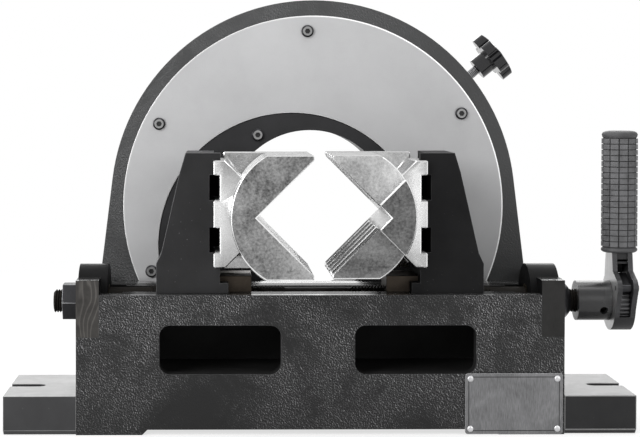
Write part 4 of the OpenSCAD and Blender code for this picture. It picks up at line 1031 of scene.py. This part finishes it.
class CUTTER_OT_grip(bpy.types.Operator):
    """Rubber grip with rows of bricks"""

    bl_idname = "cutter.grip"
    bl_label = "Grip"

    def execute(self, context):
        s = sizes()
        low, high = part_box("rubber_grip")
        mid = centre("rubber_grip")
        rim = (high.x - low.x) / 2
        tall = high.z - low.z
        skin = rim - 0.0014
        foot, cap, hair = 0.004, 0.0056, 0.0001
        first, last = 0.0044, 0.0058
        sleeve = turned("grip_sleeve", "grip_rim", [([
            (0, 0.0006), (rim - 0.002, 0.0), (rim - 0.0006, 0.0008), (rim, 0.0018),
            (rim - 0.0004, 0.0032), (skin, foot), (skin, tall - cap), (rim - 0.0008, tall - 0.005),
            (rim - 0.0002, tall - 0.003), (rim - 0.001, tall - 0.0014),
            (rim - 0.003, tall - 0.0004), (rim - 0.006, tall), (0, tall)],
            (mid.x, mid.y, low.z), (0, 0, 1))], 50)
        paint(sleeve.data, "grip_rim", "grip_groove")
        # The sleeve shows between the bricks; its middle is darkened as painted shade in the
        # grooves.
        for polygon in sleeve.data.polygons:
            polygon.material_index = foot + hair < polygon.center.z - low.z < tall - cap - hair
        stands_for(sleeve, "rubber_grip")
        step = (tall - first - last) / s.grip_rows
        wide = 2 * math.pi * skin / s.grip_columns
        bricks = brick_recipe().make(
            "grip_bricks", "grip_rubber", Rows=s.grip_rows, Columns=s.grip_columns, Radius=skin,
            First=first + step / 2, Step=step, Size=(0.0018, wide * 0.93, step * 0.86),
            Place=(mid.x, mid.y, low.z))
        goes_with(bricks, "rubber_grip")
        return {"FINISHED"}


class CUTTER_OT_star_knob(bpy.types.Operator):
    """Star knob on its stud"""

    bl_idname = "cutter.star_knob"
    bl_label = "Star knob"

    def execute(self, context):
        dressed("star_knob", "knob_gloss", width=0.0016, segments=3)
        low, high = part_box("lock_stud")
        radius = (high.y - low.y) / 2
        way = (centre("star_knob") - centre("lock_stud")).normalized()
        length = (high.x - low.x - 2 * radius * way.z) / way.x
        start = centre("lock_stud") - way * length / 2
        pitch, depth, plain_end = 0.00125, 0.0007, 0.001
        root = radius - depth
        stands_for(turned("lock_stud_core", "black_oxide", [
            ([(0, 0), (root, 0), (root, length), (0, length)], start, way)]), "lock_stud")
        thread(
            "lock_stud_thread", "slide_steel", "lock_stud", pitch, length - 2 * plain_end,
            Radius=radius - 0.0004, Depth=depth, Foot=0.0011, Crest=0.0003,
            Turn=(0.0, math.atan2(way.x, way.z), 0.0), Place=tuple(start + way * plain_end))
        return {"FINISHED"}


class CUTTER_OT_name_plate(bpy.types.Operator):
    """Bare name plate with its border and rivets"""

    bl_idname = "cutter.name_plate"
    bl_label = "Name plate"

    def execute(self, context):
        dressed("name_plate", "plate_dark", "rivet_alu", width=0.0003)
        low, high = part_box("name_plate")
        mid = centre("name_plate")
        inset, line, thick, lift = 0.0024, 0.0005, 0.0003, 0.00004
        wide, tall = high.x - low.x - 2 * inset, high.z - low.z - 2 * inset
        y = low.y - lift
        x, z = (wide - line) / 2, (tall - line) / 2
        goes_with(boxes("plate_border", "lever_dark", [
            *(((mid.x, y, mid.z + rise), (wide, thick, line)) for rise in (-z, z)),
            *(((mid.x + side, y, mid.z), (line, thick, tall)) for side in (-x, x))]), "name_plate")
        domes = []
        for rivet_low, rivet_high in solids_of("plate_rivets"):
            spot = (rivet_low + rivet_high) / 2
            radius = (rivet_high.x - rivet_low.x) / 2
            dome = low.y - rivet_low.y
            domes.append(([
                (0, 0), (radius, 0), (radius * 0.96, dome * 0.4), (radius * 0.75, dome * 0.75),
                (radius * 0.4, dome * 0.95), (0, dome)], (spot.x, low.y, spot.z), (0, -1, 0)))
        stands_for(turned("plate_rivet_domes", "rivet_alu", domes, 60), "plate_rivets")
        return {"FINISHED"}


class CUTTER_OT_saw(bpy.types.Operator):
    """Saw slide, gear case, motor, handle and blade"""

    bl_idname = "cutter.saw"
    bl_label = "Saw"

    def execute(self, context):
        s = sizes()
        machined, fine = s.machined_edge, s.fine_edge
        for finish, width, nodes in (
                ("slide_steel", machined, "slide_base"),
                ("gear_alu", machined, "saw_slide"),
                ("gear_alu", s.casting_edge, "gear_case"),
                ("guard_paint", fine, "blade_guard"),
                ("motor_plastic", machined, "motor_housing motor_end_cap motor_handle"),
                ("trigger_plastic", 0.0012, "trigger"),
                ("motor_plastic", machined, "cable_gland"),
                ("slide_steel", fine, "blade_spindle blade_flange"),
                ("black_oxide", fine, "blade_bolt"),
                ("slide_steel", fine, "setting_screw"),
                ("knob_gloss", machined, "setting_knob")):
            for node in nodes.split():
                dressed(node, finish, width=width)
        wear("blade_steel", "saw_blade")
        wear("bush_bronze", "slide_gib")
        wear("black_oxide", "slide_base_screws", "gear_case_screws")
        low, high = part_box("motor_housing")
        mid = centre("motor_housing")
        radius = (high.x - low.x) / 2
        ribs = brick_recipe().make(
            "motor_ribs", "motor_plastic", Rows=1, Columns=s.motor_ribs, Radius=radius, First=0.022,
            Step=0.03, Size=(0.0016, 0.0024, 0.03), Turn=(-math.pi / 2, 0, 0),
            Place=(mid.x, low.y, mid.z))
        goes_with(ribs, "motor_housing")
        return {"FINISHED"}


class CUTTER_OT_stage(bpy.types.Operator):
    """Floor, lamps and camera"""

    bl_idname = "cutter.stage"
    bl_label = "Stage"

    def execute(self, context):
        scene = context.scene
        scene.view_settings.view_transform = "Standard"
        self.add_floor()
        self.add_world(scene)
        for name, place, aim, size, power in (
                ("key", (-0.9, -1.0, 0.75), (-0.05, 0, 0.14), 0.8, 17.5),
                ("top", (0.2, 0.1, 1.9), (0, 0, 0.1), 1.5, 24),
                ("fill", (1.1, -1.5, 0.6), (0, 0, 0.12), 0.8, 7),
                ("back", (0.3, 1.7, 1.2), (0, 0.1, 0.15), 1.3, 16),
                ("side", (-1.9, 0.0, 0.6), (0, 0, 0.15), 0.9, 14)):
            lamp = bpy.data.lights.new(name, "AREA")
            lamp.energy = power
            lamp.size = size
            obj = bpy.data.objects.new(name, lamp)
            obj.location = place
            obj.rotation_euler = (Vector(aim) - Vector(place)).to_track_quat("-Z", "Y").to_euler()
            scene.collection.objects.link(obj)
        lens = bpy.data.cameras.new("photo")
        lens.lens = 93.818
        lens.shift_x = 0.12
        lens.shift_y = -0.12
        camera = bpy.data.objects.new("photo", lens)
        camera.location = (-0.0763, -1.3056, 0.254)
        camera.rotation_euler = [math.radians(v) for v in (88.5368, -0.0343, -0.8021)]
        scene.collection.objects.link(camera)
        scene.camera = camera
        return {"FINISHED"}

    def add_floor(self):
        """White floor that looks whiter than it lights, least so near the part."""
        far = 6
        mesh = bpy.data.meshes.new("floor")
        mesh.from_pydata(
            [(-far, -far, 0), (far, -far, 0), (far, far, 0), (-far, far, 0)], [], [(0, 1, 2, 3)])
        f = Finish("floor_white")
        f.put(Base_Color=grey(0.86), Roughness=0.9)
        glow = f.node("Emission", {"Color": grey(1.0), "Strength": 1.0})
        away = f.node("VectorMath", {0: f.place}, "Value", operation="LENGTH")
        blend = f.node("MixShader", {
            0: seen_ray(f) * f.span(away, 0.3, 1.2, 0.7), 1: Sock(f, f.shader.outputs[0]), 2: glow})
        f.feed(f.tree.nodes["Material Output"].inputs[0], blend)
        new_object("floor", mesh, "floor_white")

    def add_world(self, scene):
        """White surroundings that look whiter than they light."""
        scene.world = bpy.data.worlds.new("studio")
        scene.world.use_nodes = True
        graph = Graph(scene.world.node_tree)
        graph.tree.nodes.clear()
        soft, white = (
            graph.node("Background", {"Color": grey(1.0), "Strength": strength})
            for strength in (0.42, 1.0))
        mixed = graph.node("MixShader", {0: seen_ray(graph), 1: soft, 2: white})
        graph.node("OutputWorld", {0: mixed})


def seen_ray(graph):
    """1 on camera, glossy and transmission rays."""
    camera = graph.node("LightPath", out="Is Camera Ray")
    others = camera.also("Is Glossy Ray") + camera.also("Is Transmission Ray")
    return graph.node("Math", {0: camera, 1: others}, operation="MAXIMUM")


STEPS = (
    CUTTER_OT_stage, CUTTER_OT_base, CUTTER_OT_feet, CUTTER_OT_end_blocks, CUTTER_OT_arch,
    CUTTER_OT_rotor, CUTTER_OT_disc, CUTTER_OT_vise, CUTTER_OT_jaws, CUTTER_OT_spindle,
    CUTTER_OT_lever, CUTTER_OT_grip, CUTTER_OT_star_knob, CUTTER_OT_name_plate, CUTTER_OT_saw)


class CUTTER_PT_panel(bpy.types.Panel):
    """Lists the steps that dress the cutter"""

    bl_idname = "CUTTER_PT_panel"
    bl_label = "Pipe cutter"
    bl_space_type = "VIEW_3D"
    bl_region_type = "UI"
    bl_category = "Cutter"

    def draw(self, context):
        for group in (context.scene.cutter_sizes, context.scene.cutter_colours):
            for key in group.__annotations__:
                self.layout.prop(group, key)
        for step in STEPS:
            self.layout.operator(step.bl_idname)


CLASSES = (CutterSizes, CutterColours, *STEPS, CUTTER_PT_panel)


def register():
    """Adds the classes and the scene's settings."""
    for cls in CLASSES:
        bpy.utils.register_class(cls)
    bpy.types.Scene.cutter_sizes = PointerProperty(type=CutterSizes)
    bpy.types.Scene.cutter_colours = PointerProperty(type=CutterColours)


def unregister():
    """Removes them again."""
    del bpy.types.Scene.cutter_colours
    del bpy.types.Scene.cutter_sizes
    for cls in reversed(CLASSES):
        bpy.utils.unregister_class(cls)


def main():
    """Dresses the cutter step by step."""
    register()
    make_finishes()
    for step in STEPS:
        getattr(bpy.ops.cutter, step.bl_idname.split(".")[1])()


if __name__ == "__main__":
    main()
